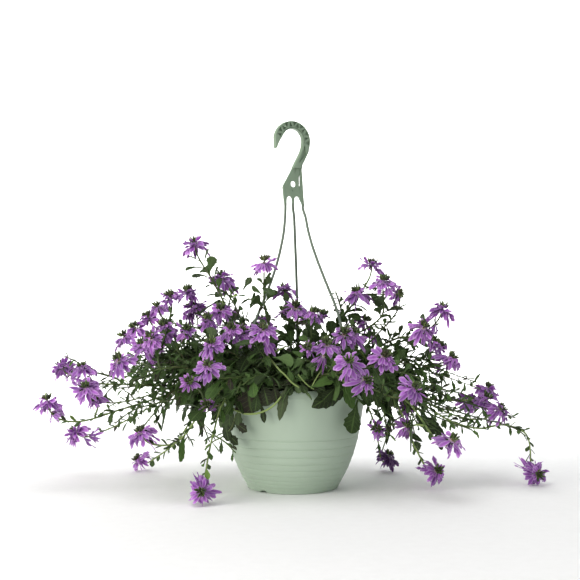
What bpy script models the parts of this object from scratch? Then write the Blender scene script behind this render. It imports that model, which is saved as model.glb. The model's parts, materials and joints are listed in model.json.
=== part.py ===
# A hanging basket of trailing fan flowers: a ribbed plastic pot with soil, a one-piece hanger with
# three strands, leafy green sprays and the flower heads at their tips.
# Lengths here are in millimetres with Z = 0 under the pot's foot. The finished model is in metres and
# has its origin at the seat inside the hook, the point that it hangs from.

import math
import random

import bmesh
import bpy
import numpy as np
from mathutils import Matrix, Vector
from mathutils.bvhtree import BVHTree

MM = 0.001
UP = Vector((0.0, 0.0, 1.0))
FIT_GAP = 0.35
SEED = 11

# Pot: outer radius at each height, wall, rim, foot and ribs
POT_OUTLINE = (
    (4, 81), (20, 90), (36, 98), (60, 107.5), (87, 115.3), (118, 121), (147, 125.5), (168, 128.6),
)
POT_SIDES = 26
POT_WALL = 1.8
RIM_TOP = 181.0
RIM_BAND_LOW = 166.6
RIM_RADIUS = 130.0
RIM_LEDGE_INNER = 119.0
RIM_LEDGE_THICK = 2.4
RIB_HEIGHTS = (95, 80, 66, 53, 42.5, 31.5, 23, 16.5, 9)
RIB_STEP = 0.45
RIB_DROP = 0.7
FOOT_RADIUS = 78.0
FOOT_INNER = 72.5
RIM_EDGE = 1.0
FLOOR_LOW = 5.0
FLOOR_THICK = 2.0
FOOT_NOTCHES = 3
FOOT_NOTCH_WIDTH = 17.0
FOOT_NOTCH_HEIGHT = 4.2
FOOT_NOTCH_AZIMUTH = 231.0
DRAIN_HOLES = 6
DRAIN_HOLE_RADIUS = 4.0
DRAIN_HOLE_CIRCLE = 52.0

# Soil
SOIL_EDGE = 158.0
SOIL_CROWN = 166.0
SOIL_RADIUS = 124.0
SOIL_SHOULDER = 80.0

# Hanger: hook and plate share one outline, drawn in a plane turned about the vertical
HOOK_TURN = 30.0
HOOK_THICK = 9.0
HOOK_CENTRE = (-2.5, 615.0)
HOOK_OUTER = 35.0
HOOK_INNER = 21.0
HOOK_TIP = (-36.0, 601.5)
PLATE_HOLE_RADIUS = 6.0
PLATE_HOLE_HEIGHT = 538.0
STRAND_SPACING = 15.5
STRAND_WIDTH = 3.7
STRAND_THICK = 3.0
STRAND_FOOT = 500.0
STRAND_STEPS = 9
STRAND_OVERLAP = 4.0
SHOULDER_RADIUS = 3.4
PIN_RADIUS = 1.8
BARB_RADIUS = 3.1
BARB_DROP = 7.0
RIM_HOLE_RADIUS = 2.6
RIM_HOLE_CIRCLE = 123.0
STRAND_AZIMUTHS = (205.0, 86.0, -34.0)
# Points of each strand between plate and rim: left, back and right
STRAND_ROUTES = (
    ((-14, -9, 479), (-17, -14, 448), (-27, -20, 401), (-42, -26, 355), (-58, -33, 315), (-88, -43, 240)),
    ((2, 6, 479), (4, 14, 432), (6, 30, 384), (7.5, 52, 331), (8.5, 90, 250)),
    ((20, 5, 479), (29, -2, 448), (46, -14, 401), (64, -28, 355), (80, -42, 310), (95, -58, 240)),
)

# Stems, leaves and flowers
ROOT_HALF = 2.4
STEM_HALF = 1.5
TIP_HALF = 0.95
ROOT_DEPTH = 22.0
LEADER_HEIGHT = 6.0
NODE_HALF = 1.6
NODE_SPACING = 50.0
STEM_CLEAR = 6.5
HEAD_CLEAR = 27.0
RIM_CLEAR = 198.0
POT_CLEAR = 5.0
SOIL_CLEAR = 3.5
FIRST_NODE = 8.0
STEM_START = 9.0
ROUTE_TRIES = 240
ROUTE_SPREAD = (2.0, 0.35, 34.0)
LOW_HEAD_REACH = 150.0
STEM_ARCH = 0.06
GROUND = 0.8
LEAF_GROUND = 6.0
STEM_GROUND = 8.0
BLADE_THICK = 0.75
GUARD = 0.45
COLLAR_HALF = 3.3
COLLAR_HEIGHT = 3.0
COLLAR_ROOM = 0.8
NECK = 8.0
TUFT_FOOT = 5.5
TUFT_WIDTH = 2.6
TUFT_BUDS = (4.6, 4.0)
TUFT_TOP = 6.0
FAN_LENGTH = 25.0
FAN_TRIES = 90
FAN_SHRINK_AFTER = 40
FAN_SPACING = 120.0
FAN_NOTCH = 0.56
FAN_LOBE_ANGLES = (-48, -24, 0, 24, 48)
FAN_NOTCH_ANGLES = (-36, -12, 12, 36)
LARGE_LEAF = ((0.20, 1.2), (0.54, 10.5), (0.60, 8.6), (0.80, 11.5))
LARGE_LEAF_LENGTH = 50.0
SMALL_LEAF = ((0.28, 1.0), (0.72, 4.8))
SMALL_LEAF_LENGTH = 22.0
LEAF_TRIES = 14
LARGE_LEAVES = 78
SMALL_LEAVES = 64
MOUND_RADIUS = 250.0

# Each spray stands in the soil at its root. A stem is: flower head, number of the stem it leaves (None
# for the leader), share of that stem's length where it leaves, points it passes, way the head faces.
SPRAYS = {
    "spray_right_low": ((60, -5), (
        ((355, 50, 170), None, 0, ((215, 25, 160), (300, 40, 150)), (0.4, 0, 0.9)),
        ((435, 0, 22), 0, 0.10,
         ((225, -30, 150), (280, -25, 118), (330, -10, 105), (375, -5, 110), (415, -5, 92)),
         (0.3, -0.8, 0.1)),
        ((365, -20, 140), 0, 0.72, (), (0.6, -0.5, 0.7)),
        ((335, 130, 140), 0, 0.58, (), (0.4, 0.7, 0.6)),
    )),
    "spray_right_high": ((48, 34), (
        ((275, 60, 315), None, 0, ((150, 55, 235),), (0.3, 0.1, 0.9)),
        ((225, -60, 285), 0, 0.45, (), (0.3, -0.4, 0.8)),
        ((275, -40, 230), 0, 0.30, (), (0.5, -0.3, 0.8)),
    )),
    "spray_crown": ((0, 5), (
        ((145, 60, 395), None, 0, ((75, 35, 280), (120, 50, 340)), (0.1, 0, 1)),
        ((160, -20, 365), 0, 0.42, ((155, 10, 300),), (0.1, -0.3, 0.9)),
        ((115, 20, 345), 0, 0.50, (), (-0.3, -0.4, 0.9)),
        ((130, 40, 293), 0, 0.30, (), (0.6, -0.2, 0.8)),
        ((-50, -60, 398), 0, 0.04, ((-45, -40, 300),), (0, -0.1, 1)),
        ((-15, 60, 350), 0, 0.10, (), (0, 0.3, 1)),
        ((5, -10, 319), 0, 0.14, (), (0, -0.5, 0.9)),
    )),
    "spray_right_front": ((44, -44), (
        ((150, -150, 240), None, 0, (), (0.3, -0.6, 0.7)),
        ((260, -160, 105), 0, 0.10, ((190, -110, 165),), (0.5, -0.5, 0.8)),
        ((250, -40, 34), 0, 0.06, ((190, -50, 140), (215, -45, 85)), (0.4, -0.7, 0.4)),
        ((100, -80, 275), 0, 0.30, (), (0.1, -0.5, 0.9)),
    )),
    "spray_front_right": ((16, -64), (
        ((88, -220, 236), None, 0, (), (0, -0.8, 0.6)),
        ((115, -200, 205), 0, 0.45, (), (0.5, -0.8, 0.3)),
        ((190, -220, 195), 0, 0.25, (), (0.5, -0.6, 0.7)),
        ((55, -160, 260), 0, 0.30, (), (0, -0.5, 0.9)),
    )),
    "spray_front_left": ((-22, -62), (
        ((-135, -200, 228), None, 0, (), (-0.2, -0.6, 0.8)),
        ((-50, -140, 284), 0, 0.12, (), (0, -0.5, 0.9)),
        ((-148, -180, 24), 0, 0.08,
         ((-115, -135, 165), (-132, -160, 110), (-140, -172, 70)), (-0.1, -0.9, 0.1)),
    )),
    "spray_left_front": ((-52, -42), (
        ((-285, -160, 235), None, 0, (), (-0.4, -0.3, 0.9)),
        ((-250, -150, 115), 0, 0.12,
         ((-150, -130, 150), (-190, -140, 100), (-225, -150, 95)), (-0.3, -0.3, 0.9)),
        ((-135, -140, 260), 0, 0.35, (), (-0.2, -0.5, 0.9)),
        ((-88, -90, 278), 0, 0.15, (), (0, -0.5, 0.9)),
    )),
    "spray_left_low": ((-62, -4), (
        ((-375, 0, 210), None, 0, ((-200, 0, 180), (-290, 0, 182)), (-0.2, 0, 1)),
        ((-430, -30, 155), 0, 0.12,
         ((-225, -30, 165), (-305, -45, 140), (-370, -50, 122), (-412, -42, 128)), (-0.2, 0, 1)),
        ((-355, -70, 182), 0, 0.70, (), (-0.3, -0.5, 0.8)),
        ((-425, 70, 208), 0, 0.75, (), (-0.5, 0.4, 0.9)),
        ((-260, -60, 255), 0, 0.30, (), (-0.3, -0.3, 0.9)),
        ((-405, 90, 85), 0, 0.16,
         ((-200, 50, 168), (-285, 75, 120), (-350, 90, 88)), (-0.6, 0, 0.5)),
    )),
    "spray_left_high": ((-40, 30), (
        ((-178, 30, 433), None, 0, ((-105, 30, 290), (-145, 30, 365)), (-0.2, 0, 1)),
        ((-185, 60, 318), 0, 0.40, (), (-0.5, 0.1, 0.8)),
        ((-126, -40, 315), 0, 0.34, (), (-0.1, -0.5, 0.9)),
        ((-135, 120, 374), 0, 0.30, (), (-0.2, 0.3, 0.9)),
        ((-237, 80, 268), 0, 0.18, (), (-0.5, 0.2, 0.9)),
    )),
    "spray_back_left": ((-34, 62), (
        ((-267, 220, 316), None, 0, (), (-0.3, 0.3, 0.9)),
        ((-323, 150, 260), 0, 0.40, (), (-0.5, 0.1, 0.9)),
        ((-296, 158, 24), 0, 0.08,
         ((-165, 110, 150), (-215, 125, 70), (-260, 145, 30)), (-0.7, -0.2, 0.6)),
    )),
    "spray_back": ((14, 62), (
        ((75, 260, 225), None, 0, (), (0.1, 0.5, 0.9)),
        ((30, 180, 298), 0, 0.25, (), (0, 0.2, 1)),
        ((183, 158, 30), 0, 0.08, ((125, 120, 165), (155, 140, 95)), (0.4, 0.1, 0.7)),
    )),
}


def pot_radius(height):
    return float(np.interp(height, [h for h, r in POT_OUTLINE], [r for h, r in POT_OUTLINE]))


def material(name, colour, roughness):
    made = bpy.data.materials.new(name)
    made.use_nodes = True
    shader = made.node_tree.nodes["Principled BSDF"]
    shader.inputs["Base Color"].default_value = (*colour, 1.0)
    shader.inputs["Roughness"].default_value = roughness
    shader.inputs["Metallic"].default_value = 0.0
    return made


def mesh_object(name, points, faces, finish, sharp_angle=35.0):
    # A closed mesh with its faces turned outwards
    bm = bmesh.new()
    verts = [bm.verts.new(Vector(p) * MM) for p in points]
    for face in faces:
        bm.faces.new([verts[i] for i in face])
    bmesh.ops.recalc_face_normals(bm, faces=bm.faces)
    if bm.calc_volume(signed=True) < 0:
        bmesh.ops.reverse_faces(bm, faces=bm.faces)
    mesh = bpy.data.meshes.new(name)
    bm.to_mesh(mesh)
    bm.free()
    mesh.shade_smooth()
    mesh.set_sharp_from_angle(angle=math.radians(sharp_angle))
    mesh.materials.append(finish)
    made = bpy.data.objects.new(name, mesh)
    bpy.context.scene.collection.objects.link(made)
    return made


def turned(name, outline, sides, finish):
    # A closed outline of (radius, height) turned about Z. A radius of 0 is a point on the axis.
    points = []
    rings = []
    for radius, height in outline:
        if radius == 0:
            rings.append([len(points)] * sides)
            points.append((0, 0, height))
            continue
        rings.append(list(range(len(points), len(points) + sides)))
        for i in range(sides):
            angle = 2 * math.pi * i / sides
            points.append((radius * math.cos(angle), radius * math.sin(angle), height))
    faces = []
    for low, high in zip(rings, rings[1:]):
        for i in range(sides):
            j = (i + 1) % sides
            corners = [low[i], low[j], high[j], high[i]]
            faces.append(tuple(dict.fromkeys(corners)))
    return mesh_object(name, points, faces, finish)


def hide_cutter(cutter):
    cutter.hide_render = True
    cutter.display_type = "WIRE"


def cut_with(target, cutters):
    # One Boolean takes a whole collection of cutters away, and is applied
    group = bpy.data.collections.new(target.name + "_cutters")
    for cutter in cutters:
        hide_cutter(cutter)
        group.objects.link(cutter)
    combine(target, group, "DIFFERENCE")


def join_with(target, pieces):
    group = bpy.data.collections.new(target.name + "_pieces")
    for piece in pieces:
        group.objects.link(piece)
    combine(target, group, "UNION")


def combine(target, group, operation):
    change = target.modifiers.new(operation.lower(), "BOOLEAN")
    change.operation = operation
    change.operand_type = "COLLECTION"
    change.collection = group
    change.solver = "EXACT"
    bpy.context.view_layer.update()
    shape = bpy.data.meshes.new_from_object(target.evaluated_get(bpy.context.evaluated_depsgraph_get()))
    target.modifiers.clear()
    target.data = shape
    for used in list(group.objects):
        bpy.data.objects.remove(used, do_unlink=True)
    bpy.data.collections.remove(group)


def prism(name, outline, low, high, finish):
    # An outline of (x, y) points between two heights
    points = [(x, y, low) for x, y in outline] + [(x, y, high) for x, y in outline]
    count = len(outline)
    faces = [tuple(range(count)), tuple(range(count, 2 * count))]
    for i in range(count):
        j = (i + 1) % count
        faces.append((i, j, count + j, count + i))
    return mesh_object(name, points, faces, finish)


def circle(x, y, radius, sides):
    steps = [2 * math.pi * i / sides for i in range(sides)]
    return [(x + radius * math.cos(a), y + radius * math.sin(a)) for a in steps]


def polar(radius, degrees):
    return radius * math.cos(math.radians(degrees)), radius * math.sin(math.radians(degrees))


def build_pot(finish):
    floor_top = FLOOR_LOW + FLOOR_THICK
    ledge_low = RIM_TOP - RIM_LEDGE_THICK
    outline = [(0, FLOOR_LOW), (FOOT_INNER, FLOOR_LOW), (FOOT_INNER, 0), (FOOT_RADIUS, 0)]
    outline.append((pot_radius(4), 4))
    for height in reversed(RIB_HEIGHTS):
        outline.append((pot_radius(height) - RIB_STEP, height - RIB_DROP))
        outline.append((pot_radius(height) + RIB_STEP, height))
    outline += [(pot_radius(h), h) for h in (118, 147)]
    outline += [(pot_radius(RIM_BAND_LOW), RIM_BAND_LOW), (RIM_RADIUS, RIM_BAND_LOW + 0.5)]
    outline += [(RIM_RADIUS, RIM_TOP - RIM_EDGE), (RIM_RADIUS - RIM_EDGE, RIM_TOP)]
    outline += [(RIM_LEDGE_INNER, RIM_TOP), (RIM_LEDGE_INNER, ledge_low)]
    outline.append((pot_radius(RIM_BAND_LOW) - POT_WALL, ledge_low))
    outline += [(pot_radius(h) - POT_WALL, h) for h in (147, 95, 53, 20)]
    outline += [(pot_radius(floor_top) - POT_WALL, floor_top), (0, floor_top)]
    pot = turned("pot", outline, POT_SIDES, finish)
    cutters = []
    for azimuth in STRAND_AZIMUTHS:
        hole = circle(*polar(RIM_HOLE_CIRCLE, azimuth), RIM_HOLE_RADIUS, 8)
        cutters.append(prism("rim_hole", hole, ledge_low - 2, RIM_TOP + 2, finish))
    for i in range(DRAIN_HOLES):
        hole = circle(*polar(DRAIN_HOLE_CIRCLE, 360 * i / DRAIN_HOLES), DRAIN_HOLE_RADIUS, 8)
        cutters.append(prism("drain_hole", hole, FLOOR_LOW - 2, floor_top + 2, finish))
    for i in range(FOOT_NOTCHES):
        cutters.append(foot_notch(FOOT_NOTCH_AZIMUTH + 360 * i / FOOT_NOTCHES, finish))
    cut_with(pot, cutters)
    return pot


def foot_notch(azimuth, finish):
    # An arch through the foot ring: a low half barrel lying along the radius
    half = FOOT_NOTCH_WIDTH / 2
    angles = [math.pi * i / 6 for i in range(7)]
    arch = [(half * math.cos(a), FOOT_NOTCH_HEIGHT * math.sin(a)) for a in angles]
    arch = [(half, -1.0)] + arch + [(-half, -1.0)]
    turn = Matrix.Rotation(math.radians(azimuth), 3, "Z")
    near = [turn @ Vector((FOOT_INNER - 4, y, z)) for y, z in arch]
    far = [turn @ Vector((FOOT_RADIUS + 8, y, z)) for y, z in arch]
    count = len(arch)
    faces = [tuple(range(count)), tuple(range(count, 2 * count))]
    faces += [(i, (i + 1) % count, count + (i + 1) % count, count + i) for i in range(count)]
    return mesh_object("foot_notch", near + far, faces, finish)


def soil_height(radius):
    return SOIL_CROWN + (SOIL_EDGE - SOIL_CROWN) * (radius / SOIL_RADIUS) ** 2


def build_soil(finish):
    # Its flat sides stand a little inside the pot's inner wall
    low = FLOOR_LOW + FLOOR_THICK + FIT_GAP
    inset = POT_WALL + FIT_GAP + 0.4
    outline = [(0, low), (pot_radius(low) - inset, low)]
    outline += [(pot_radius(h) - inset, h) for h in (20, 53, 95, 147, SOIL_EDGE)]
    outline += [(SOIL_SHOULDER, soil_height(SOIL_SHOULDER)), (0, SOIL_CROWN)]
    soil = turned("soil", outline, POT_SIDES // 2, finish)
    cutters = []
    half = ROOT_HALF + FIT_GAP
    for (x, y), stems in SPRAYS.values():
        corners = [(x - half, y - half), (x + half, y - half), (x + half, y + half), (x - half, y + half)]
        floor = soil_height(math.hypot(x, y)) - ROOT_DEPTH - FIT_GAP
        cutters.append(prism("root_hole", corners, floor, SOIL_CROWN + 10, finish))
    cut_with(soil, cutters)
    return soil


def arc(centre, radius, start, end, steps):
    angles = [math.radians(start + (end - start) * i / steps) for i in range(steps + 1)]
    return [(centre[0] + radius * math.cos(a), centre[1] + radius * math.sin(a)) for a in angles]


def hook_plane(u, across, height):
    # A point of the hook's own plane, turned about the vertical
    return Matrix.Rotation(math.radians(HOOK_TURN), 3, "Z") @ Vector((u, across, height))


def extruded(name, outline, thick, finish):
    # An outline in the hook's plane, as thick as asked
    count = len(outline)
    points = [hook_plane(u, side * thick / 2, z) for side in (-1, 1) for u, z in outline]
    faces = [tuple(range(count)), tuple(range(count, 2 * count))]
    faces += [(i, (i + 1) % count, count + (i + 1) % count, count + i) for i in range(count)]
    return mesh_object(name, points, faces, finish)


def hook_outline():
    outer = arc(HOOK_CENTRE, HOOK_OUTER, 172, -12, 11) + [(30, 596), (22.5, 581), (14.4, 570)]
    right = [(15.6, 559), (17.2, 538), (17.3, STRAND_FOOT)]
    legs = []
    for i in (1, 0):
        side = STRAND_SPACING * i
        legs += [(side - STRAND_WIDTH / 2, STRAND_FOOT), (side - STRAND_WIDTH / 2, 508)]
        middle = side - STRAND_SPACING / 2
        legs += arc((middle, 511), STRAND_SPACING / 2 - STRAND_WIDTH / 2 - 0.6, 0, 180, 4)
        legs += [(side - STRAND_SPACING + STRAND_WIDTH / 2, 508)]
        legs += [(side - STRAND_SPACING + STRAND_WIDTH / 2, STRAND_FOOT)]
    left = [(-17.3, STRAND_FOOT), (-19, 533), (-8.7, 554), (-1.7, 567), (6, 581), (15.5, 599)]
    inner = arc(HOOK_CENTRE, HOOK_INNER, -10, 150, 8)
    return outer + right + legs + left + inner + [(-30, 611), HOOK_TIP]


def strand_route(number, overlap):
    # From inside the plate's leg down to the rim
    across = (number - 1) * STRAND_SPACING
    start = [hook_plane(across, 0, STRAND_FOOT + overlap), hook_plane(across, 0, STRAND_FOOT - overlap)]
    x, y = polar(RIM_HOLE_CIRCLE, STRAND_AZIMUTHS[number])
    return Route(start + [Vector(p) for p in STRAND_ROUTES[number]] + [Vector((x, y, RIM_TOP + overlap))])


def strand(route, finish):
    # A flat tube along a smooth route, its ends closed, and a touch narrower than the leg it grows from
    half_width = STRAND_WIDTH / 2 - 0.1
    rings = []
    solid = Solid()
    for i in range(STRAND_STEPS + 1):
        centre, along, side, face = route.at(route.length * i / STRAND_STEPS)
        rings.append(solid.ring(square(centre, side * half_width, face * STRAND_THICK / 2, 1)))
    for low, high in zip(rings, rings[1:]):
        solid.skin(low, high)
    solid.faces += [tuple(rings[0]), tuple(rings[-1])]
    return mesh_object("strand", solid.points, solid.faces, finish)


def strand_end(azimuth, finish):
    # The shoulder above the rim, the pin through its hole and the barb below
    x, y = polar(RIM_HOLE_CIRCLE, azimuth)
    above = RIM_TOP + FIT_GAP
    below = RIM_TOP - RIM_LEDGE_THICK - FIT_GAP
    shape = ((STRAND_THICK / 2, above + 8), (SHOULDER_RADIUS, above + 2), (SHOULDER_RADIUS, above))
    shape += ((PIN_RADIUS, above), (PIN_RADIUS, below), (BARB_RADIUS, below), (0.8, below - BARB_DROP))
    solid = Solid()
    rings = []
    for half, height in shape:
        rings.append(solid.ring([Vector((px, py, height)) for px, py in circle(x, y, half, 5)]))
    for low, high in zip(rings, rings[1:]):
        solid.skin(low, high)
    solid.faces += [tuple(rings[0]), tuple(rings[-1])]
    return mesh_object("strand_end", solid.points, solid.faces, finish)


def build_hanger(finish):
    hanger = extruded("hanger", hook_outline(), HOOK_THICK, finish)
    round_hole = arc((0, PLATE_HOLE_HEIGHT), PLATE_HOLE_RADIUS, 0, 330, 11)
    cut_with(hanger, [extruded("plate_hole", round_hole, HOOK_THICK * 2, finish)])
    pieces = []
    for i, azimuth in enumerate(STRAND_AZIMUTHS):
        pieces.append(strand(strand_route(i, STRAND_OVERLAP), finish))
        pieces.append(strand_end(azimuth, finish))
    join_with(hanger, pieces)
    return hanger


class Route:
    # A smooth curve through its points, read by the distance along it, with a frame that doesn't spin
    def __init__(self, points, start_way=None, end_way=None, step=2.0):
        points = [Vector(p) for p in points]
        ways = []
        for i in range(len(points)):
            before = points[max(i - 1, 0)]
            after = points[min(i + 1, len(points) - 1)]
            ways.append((after - before).normalized())
        ways[0] = start_way.normalized() if start_way else ways[0]
        ways[-1] = end_way.normalized() if end_way else ways[-1]
        self.spots = [points[0]]
        for p, q, way_p, way_q in zip(points, points[1:], ways, ways[1:]):
            reach = (q - p).length
            count = max(2, int(reach / step))
            for i in range(1, count + 1):
                t = i / count
                self.spots.append(
                    p * (2 * t**3 - 3 * t**2 + 1) + way_p * reach * (t**3 - 2 * t**2 + t)
                    + q * (3 * t**2 - 2 * t**3) + way_q * reach * (t**3 - t**2)
                )
        self.marks = [0.0]
        for p, q in zip(self.spots, self.spots[1:]):
            self.marks.append(self.marks[-1] + (q - p).length)
        self.length = self.marks[-1]
        self.frames = []
        side = Vector((1, 0, 0))
        for i in range(len(self.spots)):
            along = self.spots[min(i + 1, len(self.spots) - 1)] - self.spots[max(i - 1, 0)]
            along.normalize()
            if i == 0 and abs(along.dot(side)) > 0.9:
                side = Vector((0, 1, 0))
            side = (side - along * side.dot(along)).normalized()
            self.frames.append((along, side, along.cross(side)))

    def at(self, distance):
        distance = min(max(distance, 0.0), self.length)
        i = int(np.searchsorted(self.marks, distance))
        i = min(max(i, 1), len(self.marks) - 1)
        share = (distance - self.marks[i - 1]) / max(self.marks[i] - self.marks[i - 1], 1e-9)
        return (self.spots[i - 1].lerp(self.spots[i], share), *self.frames[i])


class Solid:
    # Points and faces of one closed body, and the side faces that something may still grow from
    def __init__(self):
        self.points = []
        self.faces = []
        self.open_sides = []

    def ring(self, corners):
        first = len(self.points)
        self.points += [Vector(c) for c in corners]
        return list(range(first, len(self.points)))

    def skin(self, low, high, keep_open=False):
        sides = []
        for i in range(len(low)):
            j = (i + 1) % len(low)
            sides.append((low[i], low[j], high[j], high[i]))
        if keep_open:
            self.open_sides += sides
        else:
            self.faces += sides
        return sides

    def peak(self, side, tip):
        # Closes a side of four corners with a point
        end = len(self.points)
        self.points.append(Vector(tip))
        self.faces += [(side[i], side[(i + 1) % 4], end) for i in range(4)]

    def centre(self, side):
        return sum((self.points[i] for i in side), Vector()) / len(side)

    def close(self):
        self.faces += self.open_sides
        self.open_sides = []


class Surroundings:
    # All that is placed so far, for testing that a new piece stays clear of it
    def __init__(self):
        self.pieces = []

    def add(self, points, faces):
        spots = np.array([tuple(p) for p in points])
        tree = BVHTree.FromPolygons([tuple(p) for p in points], faces)
        self.pieces.append((spots.min(axis=0), spots.max(axis=0), tree))

    def hit(self, points, faces):
        spots = np.array([tuple(p) for p in points])
        low, high = spots.min(axis=0), spots.max(axis=0)
        tree = None
        for piece_low, piece_high, piece_tree in self.pieces:
            if (low > piece_high).any() or (high < piece_low).any():
                continue
            tree = tree or BVHTree.FromPolygons([tuple(p) for p in points], faces)
            if tree.overlap(piece_tree):
                return True
        return False


def object_shape(made):
    points = [v.co / MM for v in made.data.vertices]
    return points, [tuple(p.vertices) for p in made.data.polygons]


def blade(solid, side, sections, tip):
    # A flat blade that grows out of a side face: its sections, then its tip. Each section's corners are
    # left and right below, right and left above, and both faces are split along the same diagonal.
    ring = list(side)
    for corners in sections:
        new = solid.ring(corners)
        a, b, c, d = ring
        e, f, g, h = new
        solid.faces += [(a, b, f), (a, f, e), (b, c, g), (b, g, f)]
        solid.faces += [(d, c, g), (d, g, h), (d, a, e), (d, e, h)]
        ring = new
    solid.peak(ring, tip)


def leaf_sections(base, way, across, profile, length, droop, margin):
    sections = []
    scale = length / profile_length(profile)
    for share, half in profile:
        spot = base + way * length * share - UP * droop * length * share**2
        slope = (way - UP * 2 * droop * share).normalized()
        normal = slope.cross(across).normalized()
        side = across * (half * scale + margin)
        lift = normal * (BLADE_THICK / 2 + margin)
        sections.append([spot - side - lift, spot + side - lift, spot + side + lift, spot - side + lift])
    tip = base + way * (length + margin * 3) - UP * droop * length
    return sections, tip


def profile_length(profile):
    return LARGE_LEAF_LENGTH if profile is LARGE_LEAF else SMALL_LEAF_LENGTH


def sections_shape(sections, tip):
    # The guard of a blade: its sections without the stalk's first stretch
    points = [corner for section in sections for corner in section] + [tip]
    faces = []
    for k in range(len(sections) - 1):
        for i in range(4):
            j = (i + 1) % 4
            a, b, c, d = 4 * k + i, 4 * k + j, 4 * k + 4 + j, 4 * k + 4 + i
            faces += [(a, b, c), (a, c, d)]
    last = 4 * (len(sections) - 1)
    faces += [(last + i, last + (i + 1) % 4, len(points) - 1) for i in range(4)]
    return points, faces


def fan_points(head, turn, length, slope, roll, bend, margin):
    # Outline of a fan of five lobes, first lobe to last, below and above. head is the frame of the
    # flower head: centre, way it faces, and two directions across.
    centre, facing, first, second = head
    outline = []
    for k, angle in enumerate(FAN_LOBE_ANGLES):
        outline.append((angle, length * (1.0 if k in (1, 2, 3) else 0.9) + margin))
        if k < len(FAN_NOTCH_ANGLES):
            outline.append((FAN_NOTCH_ANGLES[k], length * FAN_NOTCH + margin))
    below = []
    above = []
    for angle, reach in outline:
        way = math.radians(turn + angle)
        out = first * math.cos(way) + second * math.sin(way)
        drop = slope * reach + bend * reach * reach / length + roll * reach * math.sin(math.radians(angle))
        spot = centre + out * reach - facing * drop
        lift = (facing + out * slope).normalized() * (BLADE_THICK / 2 + margin)
        below.append(spot - lift)
        above.append(spot + lift)
    return below, above


def fan_faces(corners, below, above):
    # Lobes, the web between them and the rim, split alike on both faces
    left_low, left_high, right_low, right_high = corners
    faces = []
    for left, right, row in ((left_low, right_low, below), (left_high, right_high, above)):
        t1, n1, t2, n2, t3, n3, t4, n4, t5 = row
        faces += [(left, t1, n1), (n1, t2, n2), (n2, t3, n3), (n3, t4, n4), (n4, t5, right)]
        faces += [(left, n1, n2), (left, n2, right), (right, n2, n3), (right, n3, n4)]
    low = [left_low, *below, right_low]
    high = [left_high, *above, right_high]
    for i in range(len(low) - 1):
        faces += [(low[i], low[i + 1], high[i + 1]), (low[i], high[i + 1], high[i])]
    return faces


def pot_keeps_clear(spot):
    radius = math.hypot(spot.x, spot.y)
    if spot.z > RIM_TOP + POT_CLEAR:
        return True
    if radius < RIM_LEDGE_INNER - POT_CLEAR:
        return spot.z > soil_height(radius) + SOIL_CLEAR
    if spot.z > SOIL_EDGE:
        return radius > RIM_RADIUS + POT_CLEAR
    return radius > pot_radius(spot.z) + POT_CLEAR


class Stem:
    def __init__(self, spray, number, head, facing, route, parent, leaves_at, start):
        self.spray = spray
        self.number = number
        self.head = head
        self.facing = facing
        self.route = route
        self.parent = parent
        self.leaves_at = leaves_at
        self.start = start
        self.nodes = []
        self.sides = {}


def samples(route, skip, step=3.0):
    count = int((route.length - skip) / step)
    return np.array([tuple(route.at(skip + i * step)[0]) for i in range(max(count, 1))])


def stem_start(root, own, parent, share, aim):
    # Where a stem begins, the way it leaves, and its place on the stem it leaves
    if parent is None:
        return Vector((*root, soil_height(math.hypot(*root)) + LEADER_HEIGHT)), UP, 0.0
    place = own[parent].route.length * share + FIRST_NODE
    start, along, side, face = own[parent].route.at(place)
    away = (aim - start).normalized()
    return start, max((side, -side, face, -face), key=lambda way: way.dot(away)), place


def stem_knots(rng, start, way, lead, head, neck, via, spread):
    # The points that a stem passes, drawn about their places. One with a low head first clears the rim.
    def jitter():
        return Vector((rng.gauss(0, spread), rng.gauss(0, spread), rng.gauss(0, spread)))

    knots = [start + way * lead]
    low_head = head.z < RIM_CLEAR and math.hypot(head.x, head.y) > LOW_HEAD_REACH
    if low_head:
        aim = Vector(via[0]) if via else head
        turn = math.degrees(math.atan2(aim.y, aim.x)) + rng.gauss(0, spread / 4)
        knots.append(Vector((*polar(RIM_RADIUS, turn), RIM_CLEAR + rng.uniform(0, 4 + spread))))
    for spot in via:
        knots.append(Vector(spot) + jitter() / 4)
    if not via and not low_head:
        middle = start.lerp(neck, rng.uniform(0.4, 0.6))
        knots.append(middle + UP * STEM_ARCH * (neck - start).length + jitter())
    return knots + [neck]


def lay_stems(rng, strands):
    # Each stem's route. Its middle points are drawn again until it keeps clear of all the others.
    heads = [Vector(row[0]) for root, rows in SPRAYS.values() for row in rows]
    least, growth, most = ROUTE_SPREAD
    stems = []
    taken = [strands]
    for spray, (root, rows) in SPRAYS.items():
        own = []
        for number, (head, parent, share, via, facing) in enumerate(rows):
            head = Vector(head)
            facing = Vector(facing).normalized()
            neck = head - facing * NECK
            start, way, place = stem_start(root, own, parent, share, Vector(via[0]) if via else head)
            lead, leave = (2, UP) if parent is None else (4, way + UP * 0.5)
            others = [np.array([tuple(h)]) for h in heads if (h - head).length > 1]
            best = None
            for attempt in range(ROUTE_TRIES):
                spread = min(least + attempt * growth, most)
                route = Route(stem_knots(rng, start, way, lead, head, neck, via, spread), leave, facing)
                spots = samples(route, STEM_START)
                if not all(pot_keeps_clear(Vector(s)) and s[2] > STEM_GROUND for s in spots):
                    continue
                room = min(clearance(spots, t) for t in taken) - STEM_CLEAR
                room = min(room, min(clearance(spots, other) for other in others) - HEAD_CLEAR)
                if best is None or room > best[0]:
                    best = (room, route)
                if room > 0:
                    break
            if best is None:
                raise ValueError(f"no room for stem {number} of {spray}")
            own.append(Stem(spray, number, head, facing, best[1], parent, place, start))
            taken.append(samples(best[1], STEM_START))
        stems += own
    return stems


def clearance(first, second):
    gaps = first[:, None, :] - second[None, :, :]
    return float(np.sqrt((gaps**2).sum(axis=2)).min())


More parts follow.
